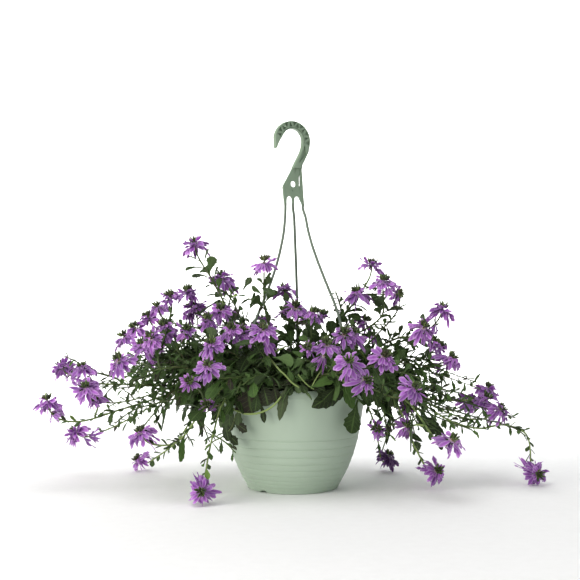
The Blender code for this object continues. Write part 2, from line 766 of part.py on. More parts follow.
def stem_half(stem, distance):
    share = distance / stem.route.length
    thick = ROOT_HALF if stem.parent is None else STEM_HALF
    return thick + (TIP_HALF - thick) * share


def square(centre, side, face, half):
    signs = ((-1, -1), (1, -1), (1, 1), (-1, 1))
    return [centre + side * sign_x * half + face * sign_y * half for sign_x, sign_y in signs]


def matched(corners, ring_points):
    # The order of the corners that twists least against the ring they join
    middle = sum(ring_points, Vector()) / 4
    centre = sum(corners, Vector()) / 4
    orders = []
    for flip in (corners, corners[::-1]):
        for turn in range(4):
            orders.append(flip[turn:] + flip[:turn])

    def twist(order):
        return sum(((p - centre) - (q - middle)).length for p, q in zip(order, ring_points))

    return min(orders, key=twist)


def raise_stem(solid, stem, base, shoots):
    # Rings in pairs at the nodes, where leaves and shoots grow, then the bud tuft above the collar
    route = stem.route
    places = sorted(shoots)
    distance = NODE_SPACING * 0.6
    while distance < route.length - 14:
        if all(abs(distance - p) > 12 for p in places):
            places.append(distance)
        distance += NODE_SPACING
    places.sort()
    ring = base
    for place in places:
        pair = []
        for offset in (-NODE_HALF, NODE_HALF):
            centre, along, side, face = route.at(place + offset)
            corners = square(centre, side, face, stem_half(stem, place))
            corners = matched(corners, [solid.points[i] for i in ring])
            new = solid.ring(corners)
            pair.append(new)
            if offset < 0:
                solid.skin(ring, new)
            ring = new
        sides = solid.skin(pair[0], pair[1], keep_open=True)
        stem.sides[place] = sides
        stem.nodes.append(place)
    centre, along, side, face = route.at(route.length)
    corners = matched(square(centre, side, face, TIP_HALF), [solid.points[i] for i in ring])
    neck = solid.ring(corners)
    solid.skin(ring, neck)
    rise = stem.head + stem.facing * (COLLAR_HEIGHT / 2 + 0.5) - centre
    collar_top = solid.ring([c + rise for c in corners])
    solid.skin(neck, collar_top)
    middle = stem.head + stem.facing * (COLLAR_HEIGHT / 2 + TUFT_FOOT)
    wide = solid.ring([middle + (c - centre) * TUFT_WIDTH for c in corners])
    bud_out, bud_up = TUFT_BUDS
    for side in solid.skin(collar_top, wide, keep_open=True):
        solid.open_sides.remove(side)
        out = solid.centre(side) - middle
        out -= stem.facing * out.dot(stem.facing)
        solid.peak(side, middle + stem.facing * bud_up + out.normalized() * bud_out)
    solid.peak(wide, middle + stem.facing * TUFT_TOP)
    axis = (corners[1] - corners[0]).normalized()
    stem.frame = (stem.head, stem.facing, axis, stem.facing.cross(axis))


def raise_spray(stems):
    solid = Solid()
    shoots = {}
    for stem in stems:
        shoots.setdefault(stem.parent, []).append(stem.leaves_at)
    for stem in stems:
        if stem.parent is None:
            top = square(stem.start, Vector((1, 0, 0)), Vector((0, 1, 0)), ROOT_HALF)
            foot = solid.ring([corner - UP * (LEADER_HEIGHT + ROOT_DEPTH) for corner in top])
            solid.faces.append(tuple(foot))
            base = solid.ring(top)
            solid.skin(foot, base)
        else:
            parent = stems[stem.parent]
            way = stem.route.at(0)[1]
            core = parent.route.at(stem.leaves_at)[0]
            free = [s for s in parent.sides[stem.leaves_at] if s in solid.open_sides]
            side = max(free, key=lambda s: outward(solid, s, core).dot(way))
            solid.open_sides.remove(side)
            base = list(side)
        raise_stem(solid, stem, base, shoots.get(stem.number, []))
    return solid


def outward(solid, side, core):
    return (solid.centre(side) - core).normalized()


def raise_flower_head(rng, stem, around):
    # A square collar round the stem's tip, with a fan of five lobes on three of its sides, spread evenly
    centre, facing, first, second = stem.frame
    solid = Solid()
    half_height = facing * COLLAR_HEIGHT / 2
    rings = []
    for half in (COLLAR_HALF, TIP_HALF + FIT_GAP):
        for rise in (-half_height, half_height):
            rings.append(solid.ring(square(centre + rise, first, second, half)))
    outer_low, outer_high, inner_low, inner_high = rings
    solid.skin(inner_low, inner_high)
    solid.skin(outer_low, inner_low)
    solid.skin(outer_high, inner_high)
    for side in solid.skin(outer_low, outer_high):
        out = solid.centre(side) - centre
        turn = math.degrees(math.atan2(out.dot(second), out.dot(first)))
        if abs(turn) > 135:
            continue
        corners = [solid.points[i] for i in side]
        room = [c + out.normalized() * COLLAR_ROOM for c in corners]
        fan = free_fan(rng, stem.frame, turn * FAN_SPACING / 90, room, around)
        if fan is None:
            continue
        solid.faces.remove(side)
        below = solid.ring(fan[0])
        above = solid.ring(fan[1])
        faces = fan_faces(fan_corners(side), below, above)
        solid.faces += faces
        around.add(*compact(solid.points, faces))
    return solid


def free_fan(rng, frame, turn, room, around):
    # A fan drawn again, and smaller in the end, until it keeps clear of all that is placed
    for attempt in range(FAN_TRIES):
        late = max(0, attempt - FAN_SHRINK_AFTER) / (FAN_TRIES - FAN_SHRINK_AFTER)
        length = FAN_LENGTH * rng.uniform(0.92, 1.12) * (1 - late / 2)
        slope = rng.uniform(0.0, 0.55) if attempt < FAN_TRIES // 3 else rng.uniform(-0.5, 0.8)
        roll = rng.uniform(-0.2, 0.2)
        bend = rng.uniform(0.1, 0.4)
        below, above = fan_points(frame, turn, length, slope, roll, bend, GUARD)
        if min(p.z for p in below + above) < GROUND:
            continue
        count = len(below)
        corners = fan_corners([2 * count + i for i in range(4)])
        faces = fan_faces(corners, list(range(count)), list(range(count, 2 * count)))
        if not around.hit(below + above + room, faces):
            return fan_points(frame, turn, length, slope, roll, bend, 0.0)
    return None


def fan_corners(side):
    # A side face's corners as left below, left above, right below and right above
    low, low_next, high_next, high = side
    return low, high, low_next, high_next


def compact(points, faces):
    used = sorted({i for face in faces for i in face})
    place = {old: new for new, old in enumerate(used)}
    return [points[i] for i in used], [tuple(place[i] for i in face) for face in faces]


def grow_leaf(rng, solid, stem, place, profile, length, around):
    # One leaf at a node: tried at several angles until it keeps clear of everything
    free = [s for s in stem.sides[place] if s in solid.open_sides]
    core, along = stem.route.at(place)[:2]
    rng.shuffle(free)
    for attempt in range(LEAF_TRIES * len(free)):
        side = free[attempt % len(free)]
        out = outward(solid, side, core)
        size = length * rng.uniform(0.8, 1.15)
        lean = rng.uniform(0.1, 0.9)
        way = (out + along * lean + UP * rng.uniform(-0.1, 0.4)).normalized()
        corner = [solid.points[i] for i in side]
        across = (corner[1] - corner[0]).normalized()
        across = (across - way * across.dot(way)).normalized()
        droop = rng.uniform(0.2, 0.8)
        base = solid.centre(side)
        sections, tip = leaf_sections(base, way, across, profile, size, droop, GUARD)
        points, faces = sections_shape(sections, tip)
        if min(p.z for p in points) < LEAF_GROUND or not all(pot_keeps_clear(p) for p in points):
            continue
        if around.hit(points, faces):
            continue
        sections, tip = leaf_sections(base, way, across, profile, size, droop, 0.0)
        first = matched(sections[0], corner)
        order = [sections[0].index(c) for c in first]
        if order != [0, 1, 2, 3]:
            sections = [[s[k] for k in order] for s in sections]
        solid.open_sides.remove(side)
        start = len(solid.faces)
        blade(solid, side, sections, tip)
        around.add(*compact(solid.points, solid.faces[start:]))
        return True
    return False


def grow_leaves(rng, solids, places, profile, length, wanted, rounds, around):
    # At most one leaf at each node in a round, until there are as many as wanted
    grown = 0
    for turn in range(rounds):
        rng.shuffle(places)
        for stem, place in places:
            solid = solids[stem.spray]
            if grown < wanted and any(side in solid.open_sides for side in stem.sides[place]):
                grown += grow_leaf(rng, solid, stem, place, profile, length, around)


def build_plant(leaf_finish, petal_finish, hardware):
    rng = random.Random(SEED)
    strands = [samples(strand_route(i, STRAND_OVERLAP), 0) for i in range(len(STRAND_ROUTES))]
    stems = lay_stems(rng, np.concatenate(strands))
    around = Surroundings()
    for made in hardware:
        around.add(*object_shape(made))
    solids = {}
    for spray in SPRAYS:
        own = [s for s in stems if s.spray == spray]
        solids[spray] = raise_spray(own)
        solid = solids[spray]
        around.add(solid.points, solid.faces + solid.open_sides)
    heads = [raise_flower_head(rng, stem, around) for stem in stems]
    places = [(stem, place) for stem in stems for place in stem.nodes]
    mound = [p for p in places if p[0].route.at(p[1])[0].xy.length < MOUND_RADIUS]
    grow_leaves(rng, solids, mound, LARGE_LEAF, LARGE_LEAF_LENGTH, LARGE_LEAVES, 2, around)
    grow_leaves(rng, solids, places, SMALL_LEAF, SMALL_LEAF_LENGTH, SMALL_LEAVES, 3, around)
    made = []
    for spray, solid in solids.items():
        solid.close()
        made.append(mesh_object(spray, solid.points, solid.faces, leaf_finish, 50))
    for number, solid in enumerate(heads):
        made.append(mesh_object(f"flower_head_{number + 1:02d}", solid.points, solid.faces, petal_finish, 50))
    return made


def build():
    for old in list(bpy.data.objects):
        bpy.data.objects.remove(old, do_unlink=True)
    pot_finish = material("sage_pot_plastic", (0.395, 0.491, 0.366), 0.45)
    hanger_finish = material("sage_hanger_plastic", (0.238, 0.323, 0.223), 0.40)
    soil_finish = material("potting_soil", (0.045, 0.028, 0.018), 0.95)
    leaf_finish = material("green_leaf", (0.060, 0.120, 0.035), 0.55)
    petal_finish = material("mauve_petal", (0.420, 0.180, 0.620), 0.60)
    pot = build_pot(pot_finish)
    soil = build_soil(soil_finish)
    hanger = build_hanger(hanger_finish)
    plant = build_plant(leaf_finish, petal_finish, [pot, soil, hanger])
    seat = hook_plane(HOOK_CENTRE[0], 0, HOOK_CENTRE[1] + HOOK_INNER) * MM
    for made in [pot, soil, hanger] + plant:
        made.location = -seat


build()
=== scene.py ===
import json
import math
import random

import bmesh
import bpy
import numpy as np
from mathutils import Matrix, Vector, kdtree, noise

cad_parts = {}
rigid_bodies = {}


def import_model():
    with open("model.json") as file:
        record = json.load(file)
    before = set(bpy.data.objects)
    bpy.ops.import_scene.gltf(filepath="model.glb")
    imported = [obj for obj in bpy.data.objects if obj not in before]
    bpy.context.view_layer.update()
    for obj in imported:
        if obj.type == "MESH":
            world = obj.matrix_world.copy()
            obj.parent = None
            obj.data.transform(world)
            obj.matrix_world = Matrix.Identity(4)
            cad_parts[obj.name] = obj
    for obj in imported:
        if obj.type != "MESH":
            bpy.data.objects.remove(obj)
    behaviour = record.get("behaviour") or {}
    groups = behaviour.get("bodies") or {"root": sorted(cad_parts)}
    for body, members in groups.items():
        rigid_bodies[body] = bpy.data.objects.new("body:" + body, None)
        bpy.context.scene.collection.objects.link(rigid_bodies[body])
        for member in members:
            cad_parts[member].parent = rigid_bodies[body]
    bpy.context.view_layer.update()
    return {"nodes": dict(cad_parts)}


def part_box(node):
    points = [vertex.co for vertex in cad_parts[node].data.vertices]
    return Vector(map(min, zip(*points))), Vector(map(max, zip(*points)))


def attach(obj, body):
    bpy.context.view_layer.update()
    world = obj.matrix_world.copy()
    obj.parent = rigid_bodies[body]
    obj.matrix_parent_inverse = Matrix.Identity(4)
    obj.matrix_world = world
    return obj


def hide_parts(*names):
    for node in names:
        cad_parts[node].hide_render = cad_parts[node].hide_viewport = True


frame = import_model()
bpy.ops.object.select_all(action="DESELECT")
print("frame loaded")

# Everything is modelled in millimetres round the pot's axis, ground at 0, and settled in the frame last
mm = 0.001
up = Vector((0, 0, 1))
potLow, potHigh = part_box("pot")
potFoot = Vector(((potLow.x + potHigh.x) / 2, (potLow.y + potHigh.y) / 2, potLow.z))
intoFrame = Matrix.Translation(potFoot) @ Matrix.Scale(mm, 4)
outOfFrame = intoFrame.inverted()


def linear(hexColour):
    values = [int(hexColour[i:i + 2], 16) / 255 for i in (1, 3, 5)]
    return (*[v / 12.92 if v <= 0.04045 else ((v + 0.055) / 1.055) ** 2.4 for v in values], 1.0)


def addNode(material, kind, inputs=None, stops=None, output=0, **settings):
    # One node with its settings and links, which gives its output. An input is a value or such an output.
    node = material.node_tree.nodes.new("ShaderNode" + kind)
    for name, value in settings.items():
        setattr(node, name, value)
    if stops:
        ramp = node.color_ramp
        while len(ramp.elements) < len(stops):
            ramp.elements.new(0.5)
        for element, (place, colour) in zip(ramp.elements, stops):
            element.position = place
            element.color = linear(colour)
    for name, value in (inputs or {}).items():
        if isinstance(value, bpy.types.NodeSocket):
            material.node_tree.links.new(value, node.inputs[name])
        else:
            node.inputs[name].default_value = value
    return node.outputs[output]


def newMaterial(name, inputs):
    made = bpy.data.materials.new(name)
    made.use_nodes = True
    shader = made.node_tree.nodes["Principled BSDF"]
    for socket, value in inputs.items():
        shader.inputs[socket].default_value = value
    return made, shader


def connect(output, shader, socket):
    shader.id_data.links.new(output, shader.inputs[socket])


# What a Mix node needs for colours
blend = {"output": 2, "data_type": "RGBA"}

# Plant tissue reads three numbers that each blade carries: place = (share of its length, share of its
# half width, 1 on top and -1 below), and tint, which is one value for each blade.


def bladeMarks(material):
    place = addNode(material, "Attribute", output="Vector", attribute_name="place")
    tint = addNode(material, "Attribute", output="Fac", attribute_name="tint")
    return addNode(material, "SeparateXYZ", {0: place}), tint


def petalMaterial():
    # Fan flower petal: thin living tissue with a soft sheen, pale at the throat and at the rim of each lobe
    made, shader = newMaterial("fanFlowerPetal", {
        "Roughness": 0.62, "IOR": 1.4, "Subsurface Weight": 0.12,
        "Subsurface Radius": (0.002, 0.0012, 0.002), "Subsurface Scale": 1.0,
    })
    parts, tint = bladeMarks(made)
    along = addNode(made, "ValToRGB", {0: parts}, stops=[
        (0.0, "#B8672F"), (0.1, "#C99A7C"), (0.17, "#E3D5DF"), (0.28, "#A878BC"),
        (0.62, "#9C62B7"), (0.88, "#AC78C5"), (1.0, "#CDA9DC"),
    ])
    edge = addNode(made, "Math", {0: parts.node.outputs[1]}, operation="ABSOLUTE")
    rim = addNode(made, "MapRange", {0: edge, 1: 0.45, 4: 0.5})
    rimmed = addNode(made, "Mix", {0: rim, 6: along, 7: linear("#D8BCE2")}, **blend)
    vein = addNode(made, "MapRange", {0: edge, 2: 0.22, 3: 0.55, 4: 0.0})
    veined = addNode(made, "Mix", {0: vein, 6: rimmed, 7: linear("#7A4394")}, **blend)
    hue = addNode(made, "MapRange", {0: tint, 3: 0.496, 4: 0.518})
    bright = addNode(made, "MapRange", {0: tint, 1: -0.5, 3: 0.42, 4: 1.2})
    varied = addNode(made, "HueSaturation", {0: hue, 1: 1.04, 2: bright, 4: veined})
    connect(varied, shader, "Base Color")
    cells = addNode(made, "TexCoord", output="Object")
    # Cell ridges are finer than the picture shows, so they are drawn 0.7 mm apart
    grain = addNode(made, "TexNoise", {"Vector": cells, "Scale": 1400.0})
    bump = addNode(made, "Bump", {"Strength": 0.25, "Distance": 0.0002, "Height": grain})
    connect(bump, shader, "Normal")
    return made


def leafMaterial():
    # Fan flower leaf: leathery green with a waxy skin, a pale midrib and side veins, paler below
    made, shader = newMaterial("fanFlowerLeaf", {"IOR": 1.36})
    parts, tint = bladeMarks(made)
    green = addNode(made, "ValToRGB", {0: tint}, stops=[
        (0.0, "#352A26"), (0.1, "#242D18"), (0.35, "#2D3F1C"),
        (0.7, "#3E5A25"), (0.92, "#567637"), (1.0, "#839F48"),
    ])
    mottle = addNode(made, "TexCoord", output="Object")
    spots = addNode(made, "TexNoise", {"Vector": mottle, "Scale": 120.0, "Detail": 3.0})
    shade = addNode(made, "MapRange", {0: spots, 1: 0.3, 2: 0.7, 3: 0.78, 4: 1.2})
    mottled = addNode(made, "HueSaturation", {2: shade, 4: green})
    across = addNode(made, "Math", {0: parts.node.outputs[1]}, operation="ABSOLUTE")
    rib = addNode(made, "MapRange", {0: across, 1: 0.03, 2: 0.14, 3: 0.55, 4: 0.0})
    # Side veins leave the midrib at a slant, eight on each side
    slant = addNode(made, "Math", {0: across, 1: -0.16, 2: parts}, operation="MULTIPLY_ADD")
    wave = addNode(made, "Math", {0: slant, 1: 52.0}, operation="MULTIPLY")
    ripple = addNode(made, "Math", {0: wave}, operation="SINE")
    side = addNode(made, "MapRange", {0: ripple, 1: 0.82, 4: 0.35})
    veins = addNode(made, "Math", {0: rib, 1: side}, operation="MAXIMUM")
    veined = addNode(made, "Mix", {0: veins, 6: mottled, 7: linear("#5D7840")}, **blend)
    below = addNode(made, "Math", {0: parts.node.outputs[2], 1: 0.0}, operation="LESS_THAN")
    paler = addNode(made, "Math", {0: below, 1: 0.45}, operation="MULTIPLY")
    both = addNode(made, "Mix", {0: paler, 6: veined, 7: linear("#5A6F47")}, **blend)
    connect(both, shader, "Base Color")
    raised = addNode(made, "Math", {0: veins, 1: -1.0}, operation="MULTIPLY")
    bump = addNode(made, "Bump", {"Strength": 0.5, "Distance": 0.0005, "Height": raised})
    connect(bump, shader, "Normal")
    rough = addNode(made, "MapRange", {0: spots, 3: 0.5, 4: 0.72})
    connect(rough, shader, "Roughness")
    return made


def stemMaterial():
    # Juicy green stem: smooth skin, yellow green at the growing end, flushed brown in patches
    made, shader = newMaterial("fanFlowerStem", {"Roughness": 0.48, "IOR": 1.4})
    tint = addNode(made, "Attribute", output="Fac", attribute_name="tint")
    spot = addNode(made, "TexCoord", output="Object")
    patches = addNode(made, "TexNoise", {"Vector": spot, "Scale": 45.0, "Detail": 3.0})
    green = addNode(made, "ValToRGB", {0: tint}, stops=[
        (0.0, "#36402A"), (0.35, "#46562E"), (0.7, "#627640"), (1.0, "#8BA05C"),
    ])
    flush = addNode(made, "MapRange", {0: patches, 1: 0.52, 2: 0.66, 4: 0.55})
    aged = addNode(made, "MapRange", {0: tint, 1: 0.7, 2: 0.95, 3: 1.0, 4: 0.0})
    shown = addNode(made, "Math", {0: flush, 1: aged}, operation="MULTIPLY")
    flushed = addNode(made, "Mix", {0: shown, 6: green, 7: linear("#4A3A2C")}, **blend)
    connect(flushed, shader, "Base Color")
    ridges = addNode(made, "TexNoise", {"Vector": spot, "Scale": 900.0})
    bump = addNode(made, "Bump", {"Strength": 0.3, "Distance": 0.0002, "Height": ridges})
    connect(bump, shader, "Normal")
    return made


def mouldedPlastic(name, colour, shadeColour, roughness):
    # Injection-moulded polypropylene: satin, a little uneven in colour where the melt flowed, finely grained
    made, shader = newMaterial(name, {"IOR": 1.49})
    spot = addNode(made, "TexCoord", output="Object")
    stretched = addNode(made, "Mapping", {0: spot, 3: (9.0, 9.0, 2.5)})
    flow = addNode(made, "TexNoise", {"Vector": stretched, "Scale": 1.6, "Detail": 4.0})
    part = addNode(made, "MapRange", {0: flow, 1: 0.35, 2: 0.7, 4: 0.5})
    mixed = addNode(made, "Mix", {0: part, 6: linear(colour), 7: linear(shadeColour)}, **blend)
    # Dust and scuffs dull the skin in small patches
    scuffs = addNode(made, "TexNoise", {"Vector": spot, "Scale": 70.0, "Detail": 5.0})
    dull = addNode(made, "MapRange", {0: scuffs, 1: 0.3, 2: 0.75, 3: roughness - 0.05, 4: roughness + 0.14})
    connect(dull, shader, "Roughness")
    pale = addNode(made, "MapRange", {0: scuffs, 1: 0.6, 2: 0.8, 4: 0.12})
    dusty = addNode(made, "Mix", {0: pale, 6: mixed, 7: linear("#D5DCCB")}, **blend)
    connect(dusty, shader, "Base Color")
    # The spark-eroded grain of the mould, 0.5 mm apart so that it shows
    grain = addNode(made, "TexNoise", {"Vector": spot, "Scale": 1900.0})
    bump = addNode(made, "Bump", {"Strength": 0.12, "Distance": 0.0001, "Height": grain})
    connect(bump, shader, "Normal")
    return made


def soilMaterial():
    # Peat-free potting soil: dark crumbs of composted bark and coir, matt, with paler fibres
    made, shader = newMaterial("pottingSoil", {"Roughness": 0.93})
    spot = addNode(made, "TexCoord", output="Object")
    crumbs = addNode(made, "TexVoronoi", {"Vector": spot, "Scale": 330.0})
    colour = addNode(made, "ValToRGB", {0: crumbs.node.outputs["Color"]}, stops=[
        (0.0, "#1E1510"), (0.5, "#33251B"), (0.85, "#4A3626"), (1.0, "#7A6248"),
    ])
    connect(colour, shader, "Base Color")
    bump = addNode(made, "Bump", {"Strength": 0.8, "Distance": 0.0012, "Height": crumbs})
    connect(bump, shader, "Normal")
    return made


petalTissue = petalMaterial()
leafTissue = leafMaterial()
stemTissue = stemMaterial()
potPlastic = mouldedPlastic("mouldedPotPolypropylene", "#B2C4B0", "#A7BAA5", 0.46)
hangerPlastic = mouldedPlastic("mouldedHangerPolypropylene", "#8A9E86", "#7C9179", 0.42)
# The strands are of the hook's plastic, painted darker than the hook as painted shade, and more matt
strandPlasticPaintedShade = mouldedPlastic("strandPolypropylenePaintedShade", "#6C7869", "#616E5F", 0.6)
pottingSoil = soilMaterial()
print("materials made")


def mode(kind):
    bpy.ops.object.mode_set(mode=kind)


def active(thing):
    bpy.ops.object.select_all(action="DESELECT")
    bpy.context.view_layer.objects.active = thing
    thing.select_set(True)


def smooth(thing, degrees):
    active(thing)
    bpy.ops.object.shade_smooth_by_angle(angle=math.radians(degrees))


def newObject(name, mesh):
    made = bpy.data.objects.new(name, mesh)
    bpy.context.scene.collection.objects.link(made)
    return made


def applyModifier(thing, kind, **settings):
    active(thing)
    change = thing.modifiers.new(kind.lower(), kind)
    for name, value in settings.items():
        setattr(change, name, value)
    bpy.ops.object.modifier_apply(modifier=change.name)


def settle(piece, name, finish, slotName, *nodes):
    # Puts a piece modelled in millimetres in the frame, with its place in its mesh
    piece.data.transform(intoFrame @ piece.matrix_world)
    piece.matrix_world = Matrix.Identity(4)
    piece.name = name
    piece.data.name = name
    if finish:
        piece.data.materials.clear()
        piece.data.materials.append(finish)
    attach(piece, "root")
    if nodes:
        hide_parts(*nodes)
    return piece


def joined(pieces):
    with bpy.context.temp_override(active_object=pieces[0], object=pieces[0], selected_objects=pieces,
                                   selected_editable_objects=pieces):
        bpy.ops.object.join()
    return pieces[0]


def polar(radius, degrees):
    return radius * math.cos(math.radians(degrees)), radius * math.sin(math.radians(degrees))


def polarSpot(radius, degrees, height):
    return Vector((*polar(radius, degrees), height))


# The pot, the strands and the stems follow the same numbers and rules as the construction
potValues = {
    "outline": ((4, 81), (20, 90), (36, 98), (60, 107.5), (87, 115.3), (118, 121), (147, 125.5),
                (168, 128.6)),
    "sides": 144,
    "wall": 1.8,
    "rimTop": 181.0,
    "rimBandLow": 166.6,
    "rimRadius": 130.0,
    "ledgeInner": 119.0,
    "ledgeThick": 2.4,
    "ribHeights": (95, 80, 66, 53, 42.5, 31.5, 23, 16.5, 9),
    "ribDepth": 0.75,
    "ribHalf": 0.8,
    "bulge": 0.35,
    "footRadius": 78.0,
    "footInner": 72.5,
    "floorLow": 5.0,
    "floorThick": 2.0,
    "notchAzimuths": (231, 351, 111),
    "notchWidth": 17.0,
    "notchHeight": 4.2,
    "drainHoles": 6,
    "drainRadius": 4.0,
    "drainCircle": 52.0,
    "rimHoleRadius": 2.6,
    "rimHoleCircle": 123.0,
}
soilValues = {"edge": 158.0, "crown": 166.0, "radius": 124.0}
strandValues = {
    "turn": 30.0,
    "spacing": 15.5,
    "width": 3.7,
    "thick": 3.0,
    "foot": 500.0,
    "overlap": 4.0,
    "azimuths": (205.0, 86.0, -34.0),
    "routes": (
        ((-14, -9, 479), (-17, -14, 448), (-27, -20, 401), (-42, -26, 355), (-58, -33, 315),
         (-88, -43, 240)),
        ((2, 6, 479), (4, 14, 432), (6, 30, 384), (7.5, 52, 331), (8.5, 90, 250)),
        ((20, 5, 479), (29, -2, 448), (46, -14, 401), (64, -28, 355), (80, -42, 310), (95, -58, 240)),
    ),
}
stemValues = {
    "seed": 11,
    "neck": 8.0,
    "clear": 6.5,
    "headClear": 27.0,
    "rimClear": 198.0,
    "potClear": 5.0,
    "soilClear": 3.5,
    "firstNode": 8.0,
    "start": 9.0,
    "leaderHeight": 6.0,
    "tries": 240,
    "spread": (2.0, 0.35, 34.0),
    "lowHeadReach": 150.0,
    "arch": 0.06,
    "ground": 8.0,
}

# Each spray stands in the soil at its root. A stem is: flower head, number of the stem it leaves (None
# for the leader), share of that stem's length where it leaves, points it passes, way the head faces.
sprays = {
    "spray_right_low": ((60, -5), (
        ((355, 50, 170), None, 0, ((215, 25, 160), (300, 40, 150)), (0.4, 0, 0.9)),
        ((435, 0, 22), 0, 0.1,
         ((225, -30, 150), (280, -25, 118), (330, -10, 105), (375, -5, 110), (415, -5, 92)),
         (0.3, -0.8, 0.1)),
        ((365, -20, 140), 0, 0.72, (), (0.6, -0.5, 0.7)),
        ((335, 130, 140), 0, 0.58, (), (0.4, 0.7, 0.6)),
    )),
    "spray_right_high": ((48, 34), (
        ((275, 60, 315), None, 0, ((150, 55, 235),), (0.3, 0.1, 0.9)),
        ((225, -60, 285), 0, 0.45, (), (0.3, -0.4, 0.8)),
        ((275, -40, 230), 0, 0.3, (), (0.5, -0.3, 0.8)),
    )),
    "spray_crown": ((0, 5), (
        ((145, 60, 395), None, 0, ((75, 35, 280), (120, 50, 340)), (0.1, 0, 1)),
        ((160, -20, 365), 0, 0.42, ((155, 10, 300),), (0.1, -0.3, 0.9)),
        ((115, 20, 345), 0, 0.5, (), (-0.3, -0.4, 0.9)),
        ((130, 40, 293), 0, 0.3, (), (0.6, -0.2, 0.8)),
        ((-50, -60, 398), 0, 0.04, ((-45, -40, 300),), (0, -0.1, 1)),
        ((-15, 60, 350), 0, 0.1, (), (0, 0.3, 1)),
        ((5, -10, 319), 0, 0.14, (), (0, -0.5, 0.9)),
    )),
    "spray_right_front": ((44, -44), (
        ((150, -150, 240), None, 0, (), (0.3, -0.6, 0.7)),
        ((260, -160, 105), 0, 0.1, ((190, -110, 165),), (0.5, -0.5, 0.8)),
        ((250, -40, 34), 0, 0.06, ((190, -50, 140), (215, -45, 85)), (0.4, -0.7, 0.4)),
        ((100, -80, 275), 0, 0.3, (), (0.1, -0.5, 0.9)),
    )),
    "spray_front_right": ((16, -64), (
        ((88, -220, 236), None, 0, (), (0, -0.8, 0.6)),
        ((115, -200, 205), 0, 0.45, (), (0.5, -0.8, 0.3)),
        ((190, -220, 195), 0, 0.25, (), (0.5, -0.6, 0.7)),
        ((55, -160, 260), 0, 0.3, (), (0, -0.5, 0.9)),
    )),
    "spray_front_left": ((-22, -62), (
        ((-135, -200, 228), None, 0, (), (-0.2, -0.6, 0.8)),
        ((-50, -140, 284), 0, 0.12, (), (0, -0.5, 0.9)),
        ((-148, -180, 24), 0, 0.08,
         ((-115, -135, 165), (-132, -160, 110), (-140, -172, 70)), (-0.1, -0.9, 0.1)),
    )),
    "spray_left_front": ((-52, -42), (
        ((-285, -160, 235), None, 0, (), (-0.4, -0.3, 0.9)),
        ((-250, -150, 115), 0, 0.12,
         ((-150, -130, 150), (-190, -140, 100), (-225, -150, 95)), (-0.3, -0.3, 0.9)),
        ((-135, -140, 260), 0, 0.35, (), (-0.2, -0.5, 0.9)),
        ((-88, -90, 278), 0, 0.15, (), (0, -0.5, 0.9)),
    )),
    "spray_left_low": ((-62, -4), (
        ((-375, 0, 210), None, 0, ((-200, 0, 180), (-290, 0, 182)), (-0.2, 0, 1)),
        ((-430, -30, 155), 0, 0.12,
         ((-225, -30, 165), (-305, -45, 140), (-370, -50, 122), (-412, -42, 128)), (-0.2, 0, 1)),
        ((-355, -70, 182), 0, 0.7, (), (-0.3, -0.5, 0.8)),
        ((-425, 70, 208), 0, 0.75, (), (-0.5, 0.4, 0.9)),
        ((-260, -60, 255), 0, 0.3, (), (-0.3, -0.3, 0.9)),
        ((-405, 90, 85), 0, 0.16,
         ((-200, 50, 168), (-285, 75, 120), (-350, 90, 88)), (-0.6, 0, 0.5)),
    )),
    "spray_left_high": ((-40, 30), (
        ((-178, 30, 433), None, 0, ((-105, 30, 290), (-145, 30, 365)), (-0.2, 0, 1)),
        ((-185, 60, 318), 0, 0.4, (), (-0.5, 0.1, 0.8)),
        ((-126, -40, 315), 0, 0.34, (), (-0.1, -0.5, 0.9)),
        ((-135, 120, 374), 0, 0.3, (), (-0.2, 0.3, 0.9)),
        ((-237, 80, 268), 0, 0.18, (), (-0.5, 0.2, 0.9)),
    )),
    "spray_back_left": ((-34, 62), (
        ((-267, 220, 316), None, 0, (), (-0.3, 0.3, 0.9)),
        ((-323, 150, 260), 0, 0.4, (), (-0.5, 0.1, 0.9)),
        ((-296, 158, 24), 0, 0.08,
         ((-165, 110, 150), (-215, 125, 70), (-260, 145, 30)), (-0.7, -0.2, 0.6)),
    )),
    "spray_back": ((14, 62), (
        ((75, 260, 225), None, 0, (), (0.1, 0.5, 0.9)),
        ((30, 180, 298), 0, 0.25, (), (0, 0.2, 1)),
        ((183, 158, 30), 0, 0.08, ((125, 120, 165), (155, 140, 95)), (0.4, 0.1, 0.7)),
    )),
}


def potRadius(height):
    outline = potValues["outline"]
    return float(np.interp(height, [h for h, r in outline], [r for h, r in outline]))


def soilHeight(radius):
    fall = soilValues["crown"] - soilValues["edge"]
    return soilValues["crown"] - fall * (radius / soilValues["radius"]) ** 2


def hookPlane(u, across, height):
    return Matrix.Rotation(math.radians(strandValues["turn"]), 3, "Z") @ Vector((u, across, height))


